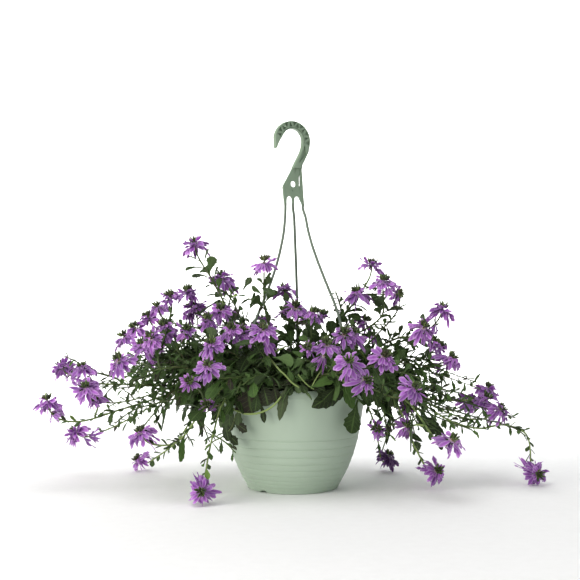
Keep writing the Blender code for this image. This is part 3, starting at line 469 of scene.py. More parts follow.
class Route:
    # A smooth curve through its points, read by the distance along it, with a frame that doesn't spin
    def __init__(self, points, startWay=None, endWay=None, step=2.0):
        points = [Vector(p) for p in points]
        ways = []
        for i in range(len(points)):
            before = points[max(i - 1, 0)]
            after = points[min(i + 1, len(points) - 1)]
            ways.append((after - before).normalized())
        ways[0] = startWay.normalized() if startWay else ways[0]
        ways[-1] = endWay.normalized() if endWay else ways[-1]
        self.spots = [points[0]]
        for p, q, wayP, wayQ in zip(points, points[1:], ways, ways[1:]):
            reach = (q - p).length
            count = max(2, int(reach / step))
            for i in range(1, count + 1):
                t = i / count
                self.spots.append(
                    p * (2 * t**3 - 3 * t**2 + 1) + wayP * reach * (t**3 - 2 * t**2 + t)
                    + q * (3 * t**2 - 2 * t**3) + wayQ * reach * (t**3 - t**2)
                )
        self.marks = [0.0]
        for p, q in zip(self.spots, self.spots[1:]):
            self.marks.append(self.marks[-1] + (q - p).length)
        self.length = self.marks[-1]
        self.frames = []
        side = Vector((1, 0, 0))
        for i in range(len(self.spots)):
            along = self.spots[min(i + 1, len(self.spots) - 1)] - self.spots[max(i - 1, 0)]
            along.normalize()
            if i == 0 and abs(along.dot(side)) > 0.9:
                side = Vector((0, 1, 0))
            side = (side - along * side.dot(along)).normalized()
            self.frames.append((along, side, along.cross(side)))

    def at(self, distance):
        distance = min(max(distance, 0.0), self.length)
        i = int(np.searchsorted(self.marks, distance))
        i = min(max(i, 1), len(self.marks) - 1)
        share = (distance - self.marks[i - 1]) / max(self.marks[i] - self.marks[i - 1], 1e-9)
        return (self.spots[i - 1].lerp(self.spots[i], share), *self.frames[i])


def strandRoute(number):
    overlap = strandValues["overlap"]
    across = (number - 1) * strandValues["spacing"]
    foot = strandValues["foot"]
    start = [hookPlane(across, 0, foot + overlap), hookPlane(across, 0, foot - overlap)]
    x, y = polar(potValues["rimHoleCircle"], strandValues["azimuths"][number])
    end = Vector((x, y, potValues["rimTop"] + overlap))
    return Route(start + [Vector(p) for p in strandValues["routes"][number]] + [end])


def samples(route, skip, step=3.0):
    count = int((route.length - skip) / step)
    return np.array([tuple(route.at(skip + i * step)[0]) for i in range(max(count, 1))])


def clearance(first, second):
    gaps = first[:, None, :] - second[None, :, :]
    return float(np.sqrt((gaps**2).sum(axis=2)).min())


def potKeepsClear(spot):
    clear = stemValues["potClear"]
    radius = math.hypot(spot.x, spot.y)
    if spot.z > potValues["rimTop"] + clear:
        return True
    if radius < potValues["ledgeInner"] - clear:
        return spot.z > soilHeight(radius) + stemValues["soilClear"]
    if spot.z > soilValues["edge"]:
        return radius > potValues["rimRadius"] + clear
    return radius > potRadius(spot.z) + clear


def stemStart(root, own, parent, share, aim):
    if parent is None:
        return Vector((*root, soilHeight(math.hypot(*root)) + stemValues["leaderHeight"])), up, 0.0
    place = own[parent]["route"].length * share + stemValues["firstNode"]
    start, along, side, face = own[parent]["route"].at(place)
    away = (aim - start).normalized()
    return start, max((side, -side, face, -face), key=lambda way: way.dot(away)), place


def stemKnots(rng, start, way, lead, head, neck, via, spread):
    # The points that a stem passes, drawn about their places. One with a low head first clears the rim.
    def jitter():
        return Vector((rng.gauss(0, spread), rng.gauss(0, spread), rng.gauss(0, spread)))

    knots = [start + way * lead]
    lowHead = head.z < stemValues["rimClear"] and math.hypot(head.x, head.y) > stemValues["lowHeadReach"]
    if lowHead:
        aim = Vector(via[0]) if via else head
        turn = math.degrees(math.atan2(aim.y, aim.x)) + rng.gauss(0, spread / 4)
        height = stemValues["rimClear"] + rng.uniform(0, 4 + spread)
        knots.append(polarSpot(potValues["rimRadius"], turn, height))
    for spot in via:
        knots.append(Vector(spot) + jitter() / 4)
    if not via and not lowHead:
        middle = start.lerp(neck, rng.uniform(0.4, 0.6))
        knots.append(middle + up * stemValues["arch"] * (neck - start).length + jitter())
    return knots + [neck]


def layStems(rng, strands):
    # Each stem's route. Its middle points are drawn again until it keeps clear of all the others.
    heads = [Vector(row[0]) for root, rows in sprays.values() for row in rows]
    least, growth, most = stemValues["spread"]
    stems = []
    taken = [strands]
    for spray, (root, rows) in sprays.items():
        own = []
        for number, (head, parent, share, via, facing) in enumerate(rows):
            head = Vector(head)
            facing = Vector(facing).normalized()
            neck = head - facing * stemValues["neck"]
            start, way, place = stemStart(root, own, parent, share, Vector(via[0]) if via else head)
            lead, leave = (2, up) if parent is None else (4, way + up * 0.5)
            others = [np.array([tuple(h)]) for h in heads if (h - head).length > 1]
            best = None
            for attempt in range(stemValues["tries"]):
                spread = min(least + attempt * growth, most)
                route = Route(stemKnots(rng, start, way, lead, head, neck, via, spread), leave, facing)
                spots = samples(route, stemValues["start"])
                if not all(potKeepsClear(Vector(s)) and s[2] > stemValues["ground"] for s in spots):
                    continue
                room = min(clearance(spots, t) for t in taken) - stemValues["clear"]
                room = min(room, min(clearance(spots, other) for other in others) - stemValues["headClear"])
                if best is None or room > best[0]:
                    best = (room, route)
                if room > 0:
                    break
            own.append({"spray": spray, "head": head, "facing": facing, "route": best[1], "parent": parent})
            taken.append(samples(best[1], stemValues["start"]))
        stems += own
    return stems


strandRoutes = [strandRoute(i) for i in range(3)]
stems = layStems(random.Random(stemValues["seed"]), np.concatenate([samples(r, 0) for r in strandRoutes]))
print("stems laid", len(stems))


# How points of a construction spray are told apart: a stem's own lie within stemReach of its route, and a
# head's within headReach of it. The shares of a blade's length where its sections stand come tip first.
readValues = {
    "stemReach": 3.5,
    "headReach": 15.0,
    "largeShares": [1.0, 0.8, 0.6, 0.54, 0.2],
    "smallShares": [1.0, 0.72, 0.28],
}


def nodeMesh(node):
    # A merged copy of a construction node in millimetres: its points and who touches whom
    bm = bmesh.new()
    bm.from_mesh(frame["nodes"][node].data)
    bmesh.ops.remove_doubles(bm, verts=bm.verts, dist=0.00002)
    bm.transform(outOfFrame)
    points = [v.co.copy() for v in bm.verts]
    links = [[e.other_vert(v).index for e in v.link_edges] for v in bm.verts]
    bm.free()
    return points, links


def clusters(keep, links):
    # Groups of kept points that touch each other
    left = set(keep)
    found = []
    while left:
        group = {left.pop()}
        edge = list(group)
        while edge:
            near = [j for i in edge for j in links[i] if j in left]
            left.difference_update(near)
            group.update(near)
            edge = near
        found.append(sorted(group))
    return found


def bladeLayers(group, links):
    # A blade's tip and its sections of four corners, tip first
    members = set(group)
    for tip in group:
        layers = [[tip]]
        seen = {tip}
        while len(seen) < len(group):
            near = {j for i in layers[-1] for j in links[i] if j in members and j not in seen}
            if not near:
                break
            layers.append(sorted(near))
            seen |= near
        if [len(layer) for layer in layers] in ([1, 4, 4, 4, 4], [1, 4, 4]):
            return layers
    return None


def readBlades(spray, own):
    # The leaves of a construction spray: base, way and length, droop, width and the blade's across
    points, links = nodeMesh(spray)
    line = np.concatenate([samples(stem["route"], 0, 1.0) for stem in own])
    heads = [stem["head"] for stem in own]
    spots = np.array([tuple(p) for p in points])
    far = np.array([np.sqrt(((line - s) ** 2).sum(axis=1)).min() for s in spots])
    keep = []
    for i, point in enumerate(points):
        near = min((point - head).length for head in heads)
        if far[i] > readValues["stemReach"] and near > readValues["headReach"]:
            keep.append(i)
    blades = []
    for group in clusters(keep, links):
        layers = bladeLayers(group, links)
        if layers is None:
            continue
        shares = readValues["largeShares"] if len(layers) == 5 else readValues["smallShares"]
        centres = [spots[layer].mean(axis=0) for layer in layers]
        # Least squares for base, way and droop in: centre = base + way * share - up * droop * share^2
        rows = []
        values = []
        for share, centre in zip(shares, centres):
            for k in range(3):
                row = [0.0] * 7
                row[k] = 1.0
                row[3 + k] = share
                row[6] = -share * share if k == 2 else 0.0
                rows.append(row)
                values.append(centre[k])
        solved = np.linalg.lstsq(np.array(rows), np.array(values), rcond=None)[0]
        corners = spots[layers[1]]
        across = np.linalg.svd(corners - corners.mean(axis=0))[2][0]
        blades.append({
            "base": Vector(solved[:3]), "way": Vector(solved[3:6]), "droop": float(solved[6]),
            "across": Vector(across), "large": len(layers) == 5,
        })
    return blades


# Flat closed blades, modelled once each: x across, y along, the top face up


def bladeSheet(name, outline, length, thick):
    # outline is (share of the length, half width in mm) from base to tip, one row of the grid for each
    bpy.ops.mesh.primitive_grid_add(x_subdivisions=2, y_subdivisions=len(outline) - 1, size=1)
    sheet = bpy.context.object
    sheet.name = name
    for vert in sheet.data.vertices:
        share, half = outline[round((vert.co.y + 0.5) * (len(outline) - 1))]
        vert.co = (vert.co.x * 2 * half, share * length, 0)
    applyModifier(sheet, "SOLIDIFY", thickness=thick, offset=0)
    smooth(sheet, 40)
    shares = [share for share, half in outline]
    halves = [half for share, half in outline]
    place = sheet.data.attributes.new("place", "FLOAT_VECTOR", "POINT")
    for i, vert in enumerate(sheet.data.vertices):
        share = vert.co.y / length
        across = vert.co.x / max(float(np.interp(share, shares, halves)), 0.01)
        place.data[i].vector = (share, across, 1 if vert.co.z > 0 else -1)
    sheet.data.attributes.new("tint", "FLOAT", "POINT")
    return sheet


# The outlines step out and back again for each tooth of the margin
leafForms = {
    "large": {"length": 48.0, "thick": 0.8, "outline": (
        (0, 1.0), (0.2, 1.4), (0.4, 4.4), (0.52, 8.4), (0.58, 8.0), (0.68, 12.0), (0.74, 10.6),
        (0.84, 11.6), (0.88, 8.6), (0.95, 6.6), (1.0, 1.6),
    )},
    "broad": {"length": 48.0, "thick": 0.8, "outline": (
        (0, 1.0), (0.1, 2.0), (0.2, 6.6), (0.3, 9.4), (0.35, 8.6), (0.5, 11.6), (0.56, 10.0),
        (0.7, 9.8), (0.75, 7.4), (0.88, 5.4), (1.0, 0.7),
    )},
    "middle": {"length": 34.0, "thick": 0.75, "outline": (
        (0, 1.1), (0.3, 1.8), (0.5, 4.2), (0.64, 6.2), (0.68, 5.0), (0.82, 6.0), (0.87, 4.0), (1.0, 0.8),
    )},
    "small": {"length": 20.0, "thick": 0.6, "outline": (
        (0, 1.2), (0.3, 2.5), (0.6, 3.6), (0.85, 2.4), (1.0, 0.3),
    )},
}
fanValues = {
    "length": 25.0,
    "lobeStep": 27.0,
    "lobeLengths": (0.86, 0.97, 1.0, 0.97, 0.86),
    "lobeOutline": ((0.08, 0.9), (0.33, 1.6), (0.53, 3.1), (0.76, 3.7), (0.91, 2.7), (1.0, 0.8)),
    "thick": 0.35,
    # How far each lobe strays by itself
    "swing": 0.3,
    "twist": 1.3,
    "phase": 3.1,
    "shrink": 0.14,
    # The channel of a lobe, and the height, number and offset of the waves in its rims
    "ruffle": (0.25, 0.5, 8.5, 1.4),
}
# The least height above the ground of a leaf, a petal and a bud
groundRoom = {"leaf": 1.0, "petal": 0.8, "bud": 0.6}


def fanTemplate():
    # One flower: five oblong lobes side by side on one face of a slit tube
    lobes = []
    for k, reach in enumerate(fanValues["lobeLengths"]):
        lobe = bladeSheet("lobe", fanValues["lobeOutline"], fanValues["length"] * reach, fanValues["thick"])
        numbers = np.full(len(lobe.data.vertices), k, np.int32)
        lobe.data.attributes.new("lobe", "INT", "POINT").data.foreach_set("value", numbers)
        lobe.data.transform(Matrix.Rotation(math.radians((k - 2) * fanValues["lobeStep"]), 4, "Z"))
        lobes.append(lobe)
    fan = joined(lobes)
    fan.name = "fan"
    return fan


def budTemplate():
    # A green flower bud: a blunt finger, thickest in its middle
    bpy.ops.mesh.primitive_uv_sphere_add(segments=6, ring_count=5, radius=1, location=(0, 0, 0))
    bud = bpy.context.object
    bud.name = "bud"
    bpy.ops.object.shade_smooth()
    bud.data.transform(Matrix.Translation((0, 0, 0.5)) @ Matrix.Diagonal((1, 1, 0.5, 1)))
    place = bud.data.attributes.new("place", "FLOAT_VECTOR", "POINT")
    for i, vert in enumerate(bud.data.vertices):
        place.data[i].vector = (vert.co.z, 0.5, 1)
    bud.data.attributes.new("tint", "FLOAT", "POINT")
    return bud


templates = {form: bladeSheet(form + "Leaf", values["outline"], values["length"], values["thick"])
             for form, values in leafForms.items()}
templates["fan"] = fanTemplate()
templates["bud"] = budTemplate()
finishes = {"fan": petalTissue, "bud": stemTissue}
flat = {}
for form, template in templates.items():
    template.data.materials.append(finishes.get(form, leafTissue))
    flat[form] = np.array([tuple(v.co) for v in template.data.vertices])
lobeOf = np.array([value.value for value in templates["fan"].data.attributes["lobe"].data])
templates["fan"].data.attributes.remove(templates["fan"].data.attributes["lobe"])
print("leaf, petal and bud modelled")


def copyOf(name, points, tint):
    # A copy with its own mesh, at its own points
    mesh = templates[name].data.copy()
    mesh.vertices.foreach_set("co", np.asarray(points, np.float32).ravel())
    mesh.attributes["tint"].data.foreach_set("value", np.full(len(mesh.vertices), tint, np.float32))
    return newObject(name, mesh)


def array(vector):
    return np.array(tuple(vector), float)


def leafCopy(form, base, way, across, length, droop, tint, fold, cup=0.0, widen=1.0, twist=0.0):
    # way is a unit vector, droop the share of the length that the tip sags. The halves fold up from the
    # midrib, and the margins cup down again.
    local = flat[form]
    full = leafForms[form]["length"]
    scale = length / full
    share = local[:, 1] / full
    x = local[:, 0] * scale * widen
    z = local[:, 2]
    base, way = array(base), array(way)
    across = array(across) - way * array(across).dot(way)
    across /= np.linalg.norm(across)
    down = np.array((0, 0, -1.0))
    spots = base + np.outer(share * length, way) + np.outer(droop * length * share**2, down)
    slopes = way + np.outer(2 * droop * share, down)
    slopes /= np.linalg.norm(slopes, axis=1)[:, None]
    normal = np.cross(across, slopes)
    normal /= np.linalg.norm(normal, axis=1)[:, None]
    flip = 1.0 if normal[:, 2].sum() > 0 else -1.0
    angle = twist * share
    side = across * np.cos(angle)[:, None] + normal * np.sin(angle)[:, None]
    lift = (normal * np.cos(angle)[:, None] - across * np.sin(angle)[:, None]) * flip
    half = np.abs(x)
    rise = half * fold - cup * half**2 / 12.0
    spots = spots + side * x[:, None] + lift * (z + rise)[:, None]
    spots[:, 2] = np.maximum(spots[:, 2], groundRoom["leaf"] + 0.3 * z)
    made = copyOf(form, spots, tint)
    if flip < 0:
        made.data.flip_normals()
    return made


def fanCopy(head, turn, length, slope, bend, roll, tint, curl=0.5):
    # head is (centre, way it faces, two directions across). Each lobe swings, curls, twists and ruffles by
    # itself.
    centre, facing, first, second = [array(v) for v in head]
    local = flat["fan"]
    scale = length / fanValues["length"]
    lean = np.radians((lobeOf - 2) * fanValues["lobeStep"])
    along = (local[:, 1] * np.cos(lean) - local[:, 0] * np.sin(lean)) * scale
    aside = (local[:, 0] * np.cos(lean) + local[:, 1] * np.sin(lean)) * scale
    share = along / length
    drawn = {}
    for part in ("swing", "curl", "twist", "phase", "shrink"):
        reach = fanValues.get(part, curl)
        drawn[part] = np.array([rng.uniform(-reach, reach) for i in range(5)])[lobeOf]
    along = along * (1.0 + drawn["shrink"])
    way = math.radians(turn) + lean + drawn["swing"] * share
    out = np.outer(np.cos(way), first) + np.outer(np.sin(way), second)
    around = np.outer(np.sin(way), first) - np.outer(np.cos(way), second)
    fall = slope + roll * np.sin(lean)
    drop = (fall + bend * share + drawn["curl"] * share**2) * along
    lift = facing + out * (fall + 2 * bend * share + 3 * drawn["curl"] * share**2)[:, None]
    lift /= np.linalg.norm(lift, axis=1)[:, None]
    twist = (drawn["twist"] * share)[:, None]
    side = around * np.cos(twist) + lift * np.sin(twist)
    rise = lift * np.cos(twist) - around * np.sin(twist)
    # Each lobe is a shallow channel, and its rims ruffle up and down on their way to the tip
    channel, high, number, offset = fanValues["ruffle"]
    wave = channel + high * np.sin(number * share + drawn["phase"] + offset * np.sign(aside))
    height = local[:, 2] + np.abs(aside) * wave
    spots = centre + out * along[:, None] - np.outer(drop, facing)
    spots = spots + side * aside[:, None] + rise * height[:, None]
    spots[:, 2] = np.maximum(spots[:, 2], groundRoom["petal"] + 0.3 * local[:, 2])
    return copyOf("fan", spots, tint)


def budCopy(base, way, length, radius, tint):
    local = flat["bud"]
    way = Vector(way).normalized()
    side = way.orthogonal().normalized()
    turn = Matrix((side, way.cross(side), way)).transposed()
    spots = local * np.array((radius, radius, length))
    spots = spots @ np.array(turn).T + array(base)
    spots[:, 2] = np.maximum(spots[:, 2], groundRoom["bud"])
    return copyOf("bud", spots, tint)


def stemTubes(rows):
    # rows are (points, radii, tint). One curve of round tubes is made a mesh, each fresher toward its end.
    curve = bpy.data.curves.new("tubes", "CURVE")
    curve.dimensions = "3D"
    curve.bevel_depth = 1.0
    curve.bevel_resolution = 1
    curve.use_fill_caps = True
    tree = kdtree.KDTree(sum(len(spots) for spots, radii, tint in rows))
    tints = []
    for spots, radii, tint in rows:
        spline = curve.splines.new("POLY")
        spline.points.add(len(spots) - 1)
        for i, (place, spot, radius) in enumerate(zip(spline.points, spots, radii)):
            place.co = (*spot, 1.0)
            place.radius = radius
            tree.insert(spot, len(tints))
            tints.append(min(1.0, tint + 0.25 * (i / len(spots) - 0.5)))
    tree.balance()
    active(newObject("tubes", curve))
    bpy.ops.object.convert(target="MESH")
    made = bpy.context.object
    # The caps come loose from their tubes
    mode("EDIT")
    bpy.ops.mesh.select_all(action="SELECT")
    bpy.ops.mesh.remove_doubles(threshold=0.01)
    bpy.ops.mesh.normals_make_consistent(inside=False)
    mode("OBJECT")
    bpy.ops.object.shade_smooth()
    mesh = made.data
    values = [tints[tree.find(vert.co)[1]] for vert in mesh.vertices]
    mesh.attributes.new("tint", "FLOAT", "POINT").data.foreach_set("value", values)
    mesh.attributes.new("place", "FLOAT_VECTOR", "POINT")
    mesh.materials.append(stemTissue)
    return made


def settleFoliage(name, rows, pieces, *nodes):
    # One piece: tubes from the rows, with their leaves and buds
    settle(joined([stemTubes(rows)] + pieces), name, None, "foliage", *nodes)
    print(name, "leaves and buds", len(pieces))


def ringTube(name, rings, sides):
    # A round bar through rings of (centre, first half axis, second half axis), its ends closed
    bpy.ops.mesh.primitive_circle_add(vertices=sides, radius=1, fill_type="NGON")
    tube = bpy.context.object
    tube.name = name
    mode("EDIT")
    for i in range(len(rings) - 1):
        bpy.ops.mesh.extrude_region_move(TRANSFORM_OT_translate={"value": (0, 0, 1)})
    mode("OBJECT")
    for vert in tube.data.vertices:
        centre, first, second = rings[round(vert.co.z)]
        vert.co = Vector(centre) + Vector(first) * vert.co.x + Vector(second) * vert.co.y
    faceOut(tube)
    return tube


def faceOut(thing):
    active(thing)
    mode("EDIT")
    bpy.ops.mesh.select_all(action="SELECT")
    bpy.ops.mesh.normals_make_consistent(inside=False)
    mode("OBJECT")


def selectWhere(thing, test):
    # Selects the vertices whose place passes the test, and the edges between them
    for vert in thing.data.vertices:
        vert.select = test(vert.co)
    for edge in thing.data.edges:
        edge.select = all(thing.data.vertices[i].select for i in edge.vertices)
    for poly in thing.data.polygons:
        poly.select = False


def turnedShape(name, outline, sides):
    # A closed outline of (radius, height), spun about the pot's axis
    bpy.ops.mesh.primitive_circle_add(vertices=len(outline), radius=1)
    made = bpy.context.object
    made.name = name
    for vert, (radius, height) in zip(made.data.vertices, outline):
        vert.co = (radius, 0, height)
    selectWhere(made, lambda place: place.x < 0.001)
    mode("EDIT")
    bpy.ops.mesh.delete(type="EDGE")
    bpy.ops.mesh.select_all(action="SELECT")
    bpy.ops.mesh.spin(steps=sides, angle=2 * math.pi, center=(0, 0, 0), axis=(0, 0, 1))
    bpy.ops.mesh.select_all(action="SELECT")
    bpy.ops.mesh.remove_doubles(threshold=0.002)
    bpy.ops.mesh.normals_make_consistent(inside=False)
    mode("OBJECT")
    return made


def prism(name, outline, low, high):
    # An outline of (x, y) between two heights
    bpy.ops.mesh.primitive_circle_add(vertices=len(outline), radius=1, fill_type="NGON")
    made = bpy.context.object
    made.name = name
    for vert, (x, y) in zip(made.data.vertices, outline):
        vert.co = (x, y, low)
    mode("EDIT")
    bpy.ops.mesh.select_all(action="SELECT")
    bpy.ops.mesh.extrude_region_move(TRANSFORM_OT_translate={"value": (0, 0, high - low)})
    mode("OBJECT")
    faceOut(made)
    return made


def circle(x, y, radius, sides):
    steps = [2 * math.pi * i / sides for i in range(sides)]
    return [(x + radius * math.cos(a), y + radius * math.sin(a)) for a in steps]


def arc(centre, radius, start, end, steps):
    angles = [math.radians(start + (end - start) * i / steps) for i in range(steps + 1)]
    return [(centre[0] + radius * math.cos(a), centre[1] + radius * math.sin(a)) for a in angles]


def combine(target, tools, operation):
    # Joins the tools into one object, then takes them away from the target or adds them to it
    tool = joined(tools) if len(tools) > 1 else tools[0]
    kept = "TRANSFER" if operation == "UNION" else "INDEX"
    applyModifier(target, "BOOLEAN", operation=operation, solver="EXACT", object=tool,
                  use_self=len(tools) > 1, material_mode=kept)
    bpy.data.objects.remove(tool, do_unlink=True)


def bandOutline():
    # The pot's outer side from foot to rim: convex bands, each overhanging the one below in a fine groove
    lines = sorted(potValues["ribHeights"])
    depth = potValues["ribDepth"]
    half = potValues["ribHalf"]
    low = 4.0
    points = [(potRadius(low) + 0.1, low)]
    for height in lines + [None]:
        top = height - half if height else 118.0
        for t in (0.3, 0.6, 0.85) if height else (0.25, 0.5, 0.75):
            level = low + (top - low) * t
            swell = potValues["bulge"] * math.sin(math.pi * t) if height else 0.15 * math.sin(math.pi * t)
            points.append((potRadius(level) + swell, level))
        if height:
            points.append((potRadius(top), top))
            points.append((potRadius(height) - depth * 0.8, height - 0.25))
            points.append((potRadius(height) + 0.1, height + half * 0.5))
            low = height + half * 0.5
    points += [(potRadius(h), h) for h in (118, 132, 147, 158)]
    return points


def potShell():
    floorTop = potValues["floorLow"] + potValues["floorThick"]
    rimTop = potValues["rimTop"]
    rim = potValues["rimRadius"]
    band = potValues["rimBandLow"]
    ledgeLow = rimTop - potValues["ledgeThick"]
    ledge = potValues["ledgeInner"]
    wall = potValues["wall"]
    floorLow = potValues["floorLow"]
    foot = potValues["footInner"]
    outline = [(0, floorLow), (foot - 0.6, floorLow), (foot, floorLow - 0.6), (foot, 0.5), (foot + 0.5, 0)]
    outline += [(potValues["footRadius"], 0), (potRadius(1) - 0.2, 1.2)]
    outline += bandOutline()
    outline += [(potRadius(band) - 0.1, band - 0.6), (potRadius(band) + 0.1, band)]
    outline += [(rim - 0.5, band + 0.1), (rim, band + 0.6), (rim, band + 5), (rim, rimTop - 1.6)]
    outline += [(rim - 0.35, rimTop - 0.6), (rim - 1.2, rimTop)]
    outline += [(ledge + 0.7, rimTop), (ledge, rimTop - 0.6), (ledge, ledgeLow)]
    outline += [(potRadius(band) - wall, ledgeLow)]
    outline += [(potRadius(h) - wall, h) for h in (147, 118, 95, 72, 53, 36, 20)]
    corner = potRadius(floorTop) - wall
    outline += [(corner - 0.6, floorTop + 0.4), (corner - 2, floorTop), (0, floorTop)]
    shell = turnedShape("potShell", outline, potValues["sides"])
    cutters = []
    for azimuth in strandValues["azimuths"]:
        x, y = polar(potValues["rimHoleCircle"], azimuth)
        hole = circle(x, y, potValues["rimHoleRadius"], 20)
        cutters.append(prism("rimHole", hole, ledgeLow - 2, rimTop + 2))
    for i in range(potValues["drainHoles"]):
        x, y = polar(potValues["drainCircle"], 360 * i / potValues["drainHoles"])
        hole = circle(x, y, potValues["drainRadius"], 20)
        cutters.append(prism("drainHole", hole, floorLow - 2, floorTop + 2))
    half = potValues["notchWidth"] / 2
    for azimuth in potValues["notchAzimuths"]:
        arch = [(half * math.cos(a), potValues["notchHeight"] * math.sin(a))
                for a in [math.pi * i / 14 for i in range(15)]]
        notch = prism("footNotch", [(half, -1.0)] + arch + [(-half, -1.0)],
                      foot - 4, potValues["footRadius"] + 8)
        # Laid down, so that the barrel points out along the radius
        stand = Matrix(((0, 0, 1, 0), (1, 0, 0, 0), (0, 1, 0, 0), (0, 0, 0, 1)))
        notch.data.transform(Matrix.Rotation(math.radians(azimuth), 4, "Z") @ stand)
        cutters.append(notch)
    combine(shell, cutters, "DIFFERENCE")
    smooth(shell, 38)
    return shell


settle(potShell(), "potShell", potPlastic, "pot_plastic", "pot")
print("pot modelled")


# In the hook's plane: distances from the pot's axis and heights above the ground
hangerValues = {
    "thick": 9.0,
    "centre": (-2.5, 615.0),
    "outer": 35.0,
    "inner": 21.0,
    "widen": 1.035,
    "tip": (-36.4, 599.5),
    "edge": 0.9,
    "hole": (0.0, 538.0, 5.4),
    "dimple": (-2.6, 526.4, 2.0, 1.1),
    "slot": (12.9, 536.0, 552.0, 1.35),
    "groove": (12.6, 528.0, 565.0, 1.2),
    "grooveDepth": 3.4,
    "legShift": 5.6,
    # How far the right strand stands beside its route in the construction, by height
    "rightLean": ((181, 0.0), (300, -2.5), (344, -3.2), (367, -3.8), (403, -3.0), (430, -1.9), (447, -0.4),
                  (465, 1.2), (483, 3.6), (504, 5.6)),
    "pocket": (3.4, 562.0, 1.5, 5.0, 2.2),
    "triangleOuter": 34.1,
    "triangleInner": 25.4,
    "triangleDepth": 3.8,
    "channel": (22.5, 23.9, 1.3),
    "triangles": 13,
    "plate": (-25.0, 30.0, 495.0, 566.5, 1.9),
    "legs": (-25.0, 25.0, 495.0, 516.0, 1.9),
    "shoulder": 3.4,
    "pin": 1.8,
    "barb": 3.1,
    "barbDrop": 7.0,
    "fitGap": 0.35,
    "back": ((30.4, 596), (26.3, 588.4), (22.5, 581), (18.4, 574), (17.2, 568), (17.4, 562)),
    "rightEdge": ((18.2, 554), (19.6, 536), (20.6, 520)),
    "leftEdge": ((-21.2, 531), (-20.6, 534.6), (-8.7, 554), (-1.7, 567), (6, 581), (11.2, 590.2),
                 (15.5, 599), (17.4, 605)),
    "archFoot": 508.0,
    "archHeight": 510.5,
    # What a strand is drawn wider and deeper by on each side, so that it shows as in the photograph
    "strandExtra": (0.6, 0.8),
    "ringStep": 5.0,
}


def hookOutline():
    centre = hangerValues["centre"]
    foot = strandValues["foot"]
    width = strandValues["width"]
    spacing = strandValues["spacing"]
    outer = arc(centre, hangerValues["outer"], 172, -12, 40)
    outer = [((u - centre[0]) * hangerValues["widen"] + centre[0], z) for u, z in outer]
    # The right leg leans out toward its strand
    shift = hangerValues["legShift"]
    right = [*hangerValues["back"], *hangerValues["rightEdge"], (17.3 + shift, foot)]
    low = hangerValues["archFoot"]
    legs = [(spacing - width / 2 + shift, foot), (spacing - width / 2 + shift * 0.3, low)]
    for i in (1, 0):
        side = spacing * i
        middle = side - spacing / 2
        if i == 0:
            legs += [(side - width / 2, foot), (side - width / 2, low)]
        legs += arc((middle, hangerValues["archHeight"]), spacing / 2 - width / 2 - 0.3, 0, 180, 14)
        legs += [(side - spacing + width / 2, low), (side - spacing + width / 2, foot)]
    left = [(-17.3, foot), (-18.6, foot + 8), *hangerValues["leftEdge"]]
    inner = arc(centre, hangerValues["inner"], -16, 150, 34)
    tip = hangerValues["tip"]
    end = [(-30, 611), (tip[0] + 2.2, tip[1] + 1.4), (tip[0] + 0.9, tip[1] - 0.3)]
    end += [(tip[0] - 0.7, tip[1] + 0.3)]
    return outer + right + legs + left + inner + end


def standingPrism(name, outline, near, far):
    # A prism stood up in the hook's plane: its outline is (across, height) and it reaches from near to far
    made = prism(name, outline, near, far)
    made.data.transform(Matrix(((1, 0, 0, 0), (0, 0, -1, 0), (0, 1, 0, 0), (0, 0, 0, 1))))
    return made


def bothFaces(name, outline, near, far):
    return [standingPrism(name, outline, near, far), standingPrism(name, outline, -far, -near)]


def hookPockets():
    # Triangular recesses in both faces along the hook's outer half, point in and point out by turns
    centre = hangerValues["centre"]
    outer = hangerValues["triangleOuter"]
    inner = hangerValues["triangleInner"]
    spots = []
    for x, y in arc((0, 0), 1, 168, -16, 60):
        spots.append((Vector(centre) + Vector((x, y)) * outer, Vector(centre) + Vector((x, y)) * inner))
    for t in (0.25, 0.5, 0.75, 1.0):
        high = Vector((30, 596)).lerp(Vector((16.5, 572)), t)
        inward = Vector((-0.87, 0.5))
        spots.append((high + inward * 1.2, high + inward * 7.4))
    count = hangerValues["triangles"]
    depth = hangerValues["triangleDepth"]
    half = hangerValues["thick"] / 2
    cutters = []
    for k in range(count):
        first = (k + 0.08) / count * (len(spots) - 1)
        last = (k + 0.92) / count * (len(spots) - 1)
        low, high = spots[int(first)], spots[min(int(last) + 1, len(spots) - 1)]
        middle = spots[int((first + last) / 2)]
        if k % 2:
            corners = [low[0], high[0], middle[1]]
        else:
            corners = [low[1], high[1], middle[0]]
        corners = [tuple(c.lerp(sum(corners, Vector((0, 0))) / 3, 0.04)) for c in corners]
        cutters += bothFaces("pocket", corners, half - depth, half + 1)
    # A channel runs along the hook's inner half
    inner, outer, depth = hangerValues["channel"]
    channel = arc(centre, outer, -8, 146, 40) + arc(centre, inner, 146, -8, 40)
    return cutters + bothFaces("channel", channel, half - depth, half + 1)


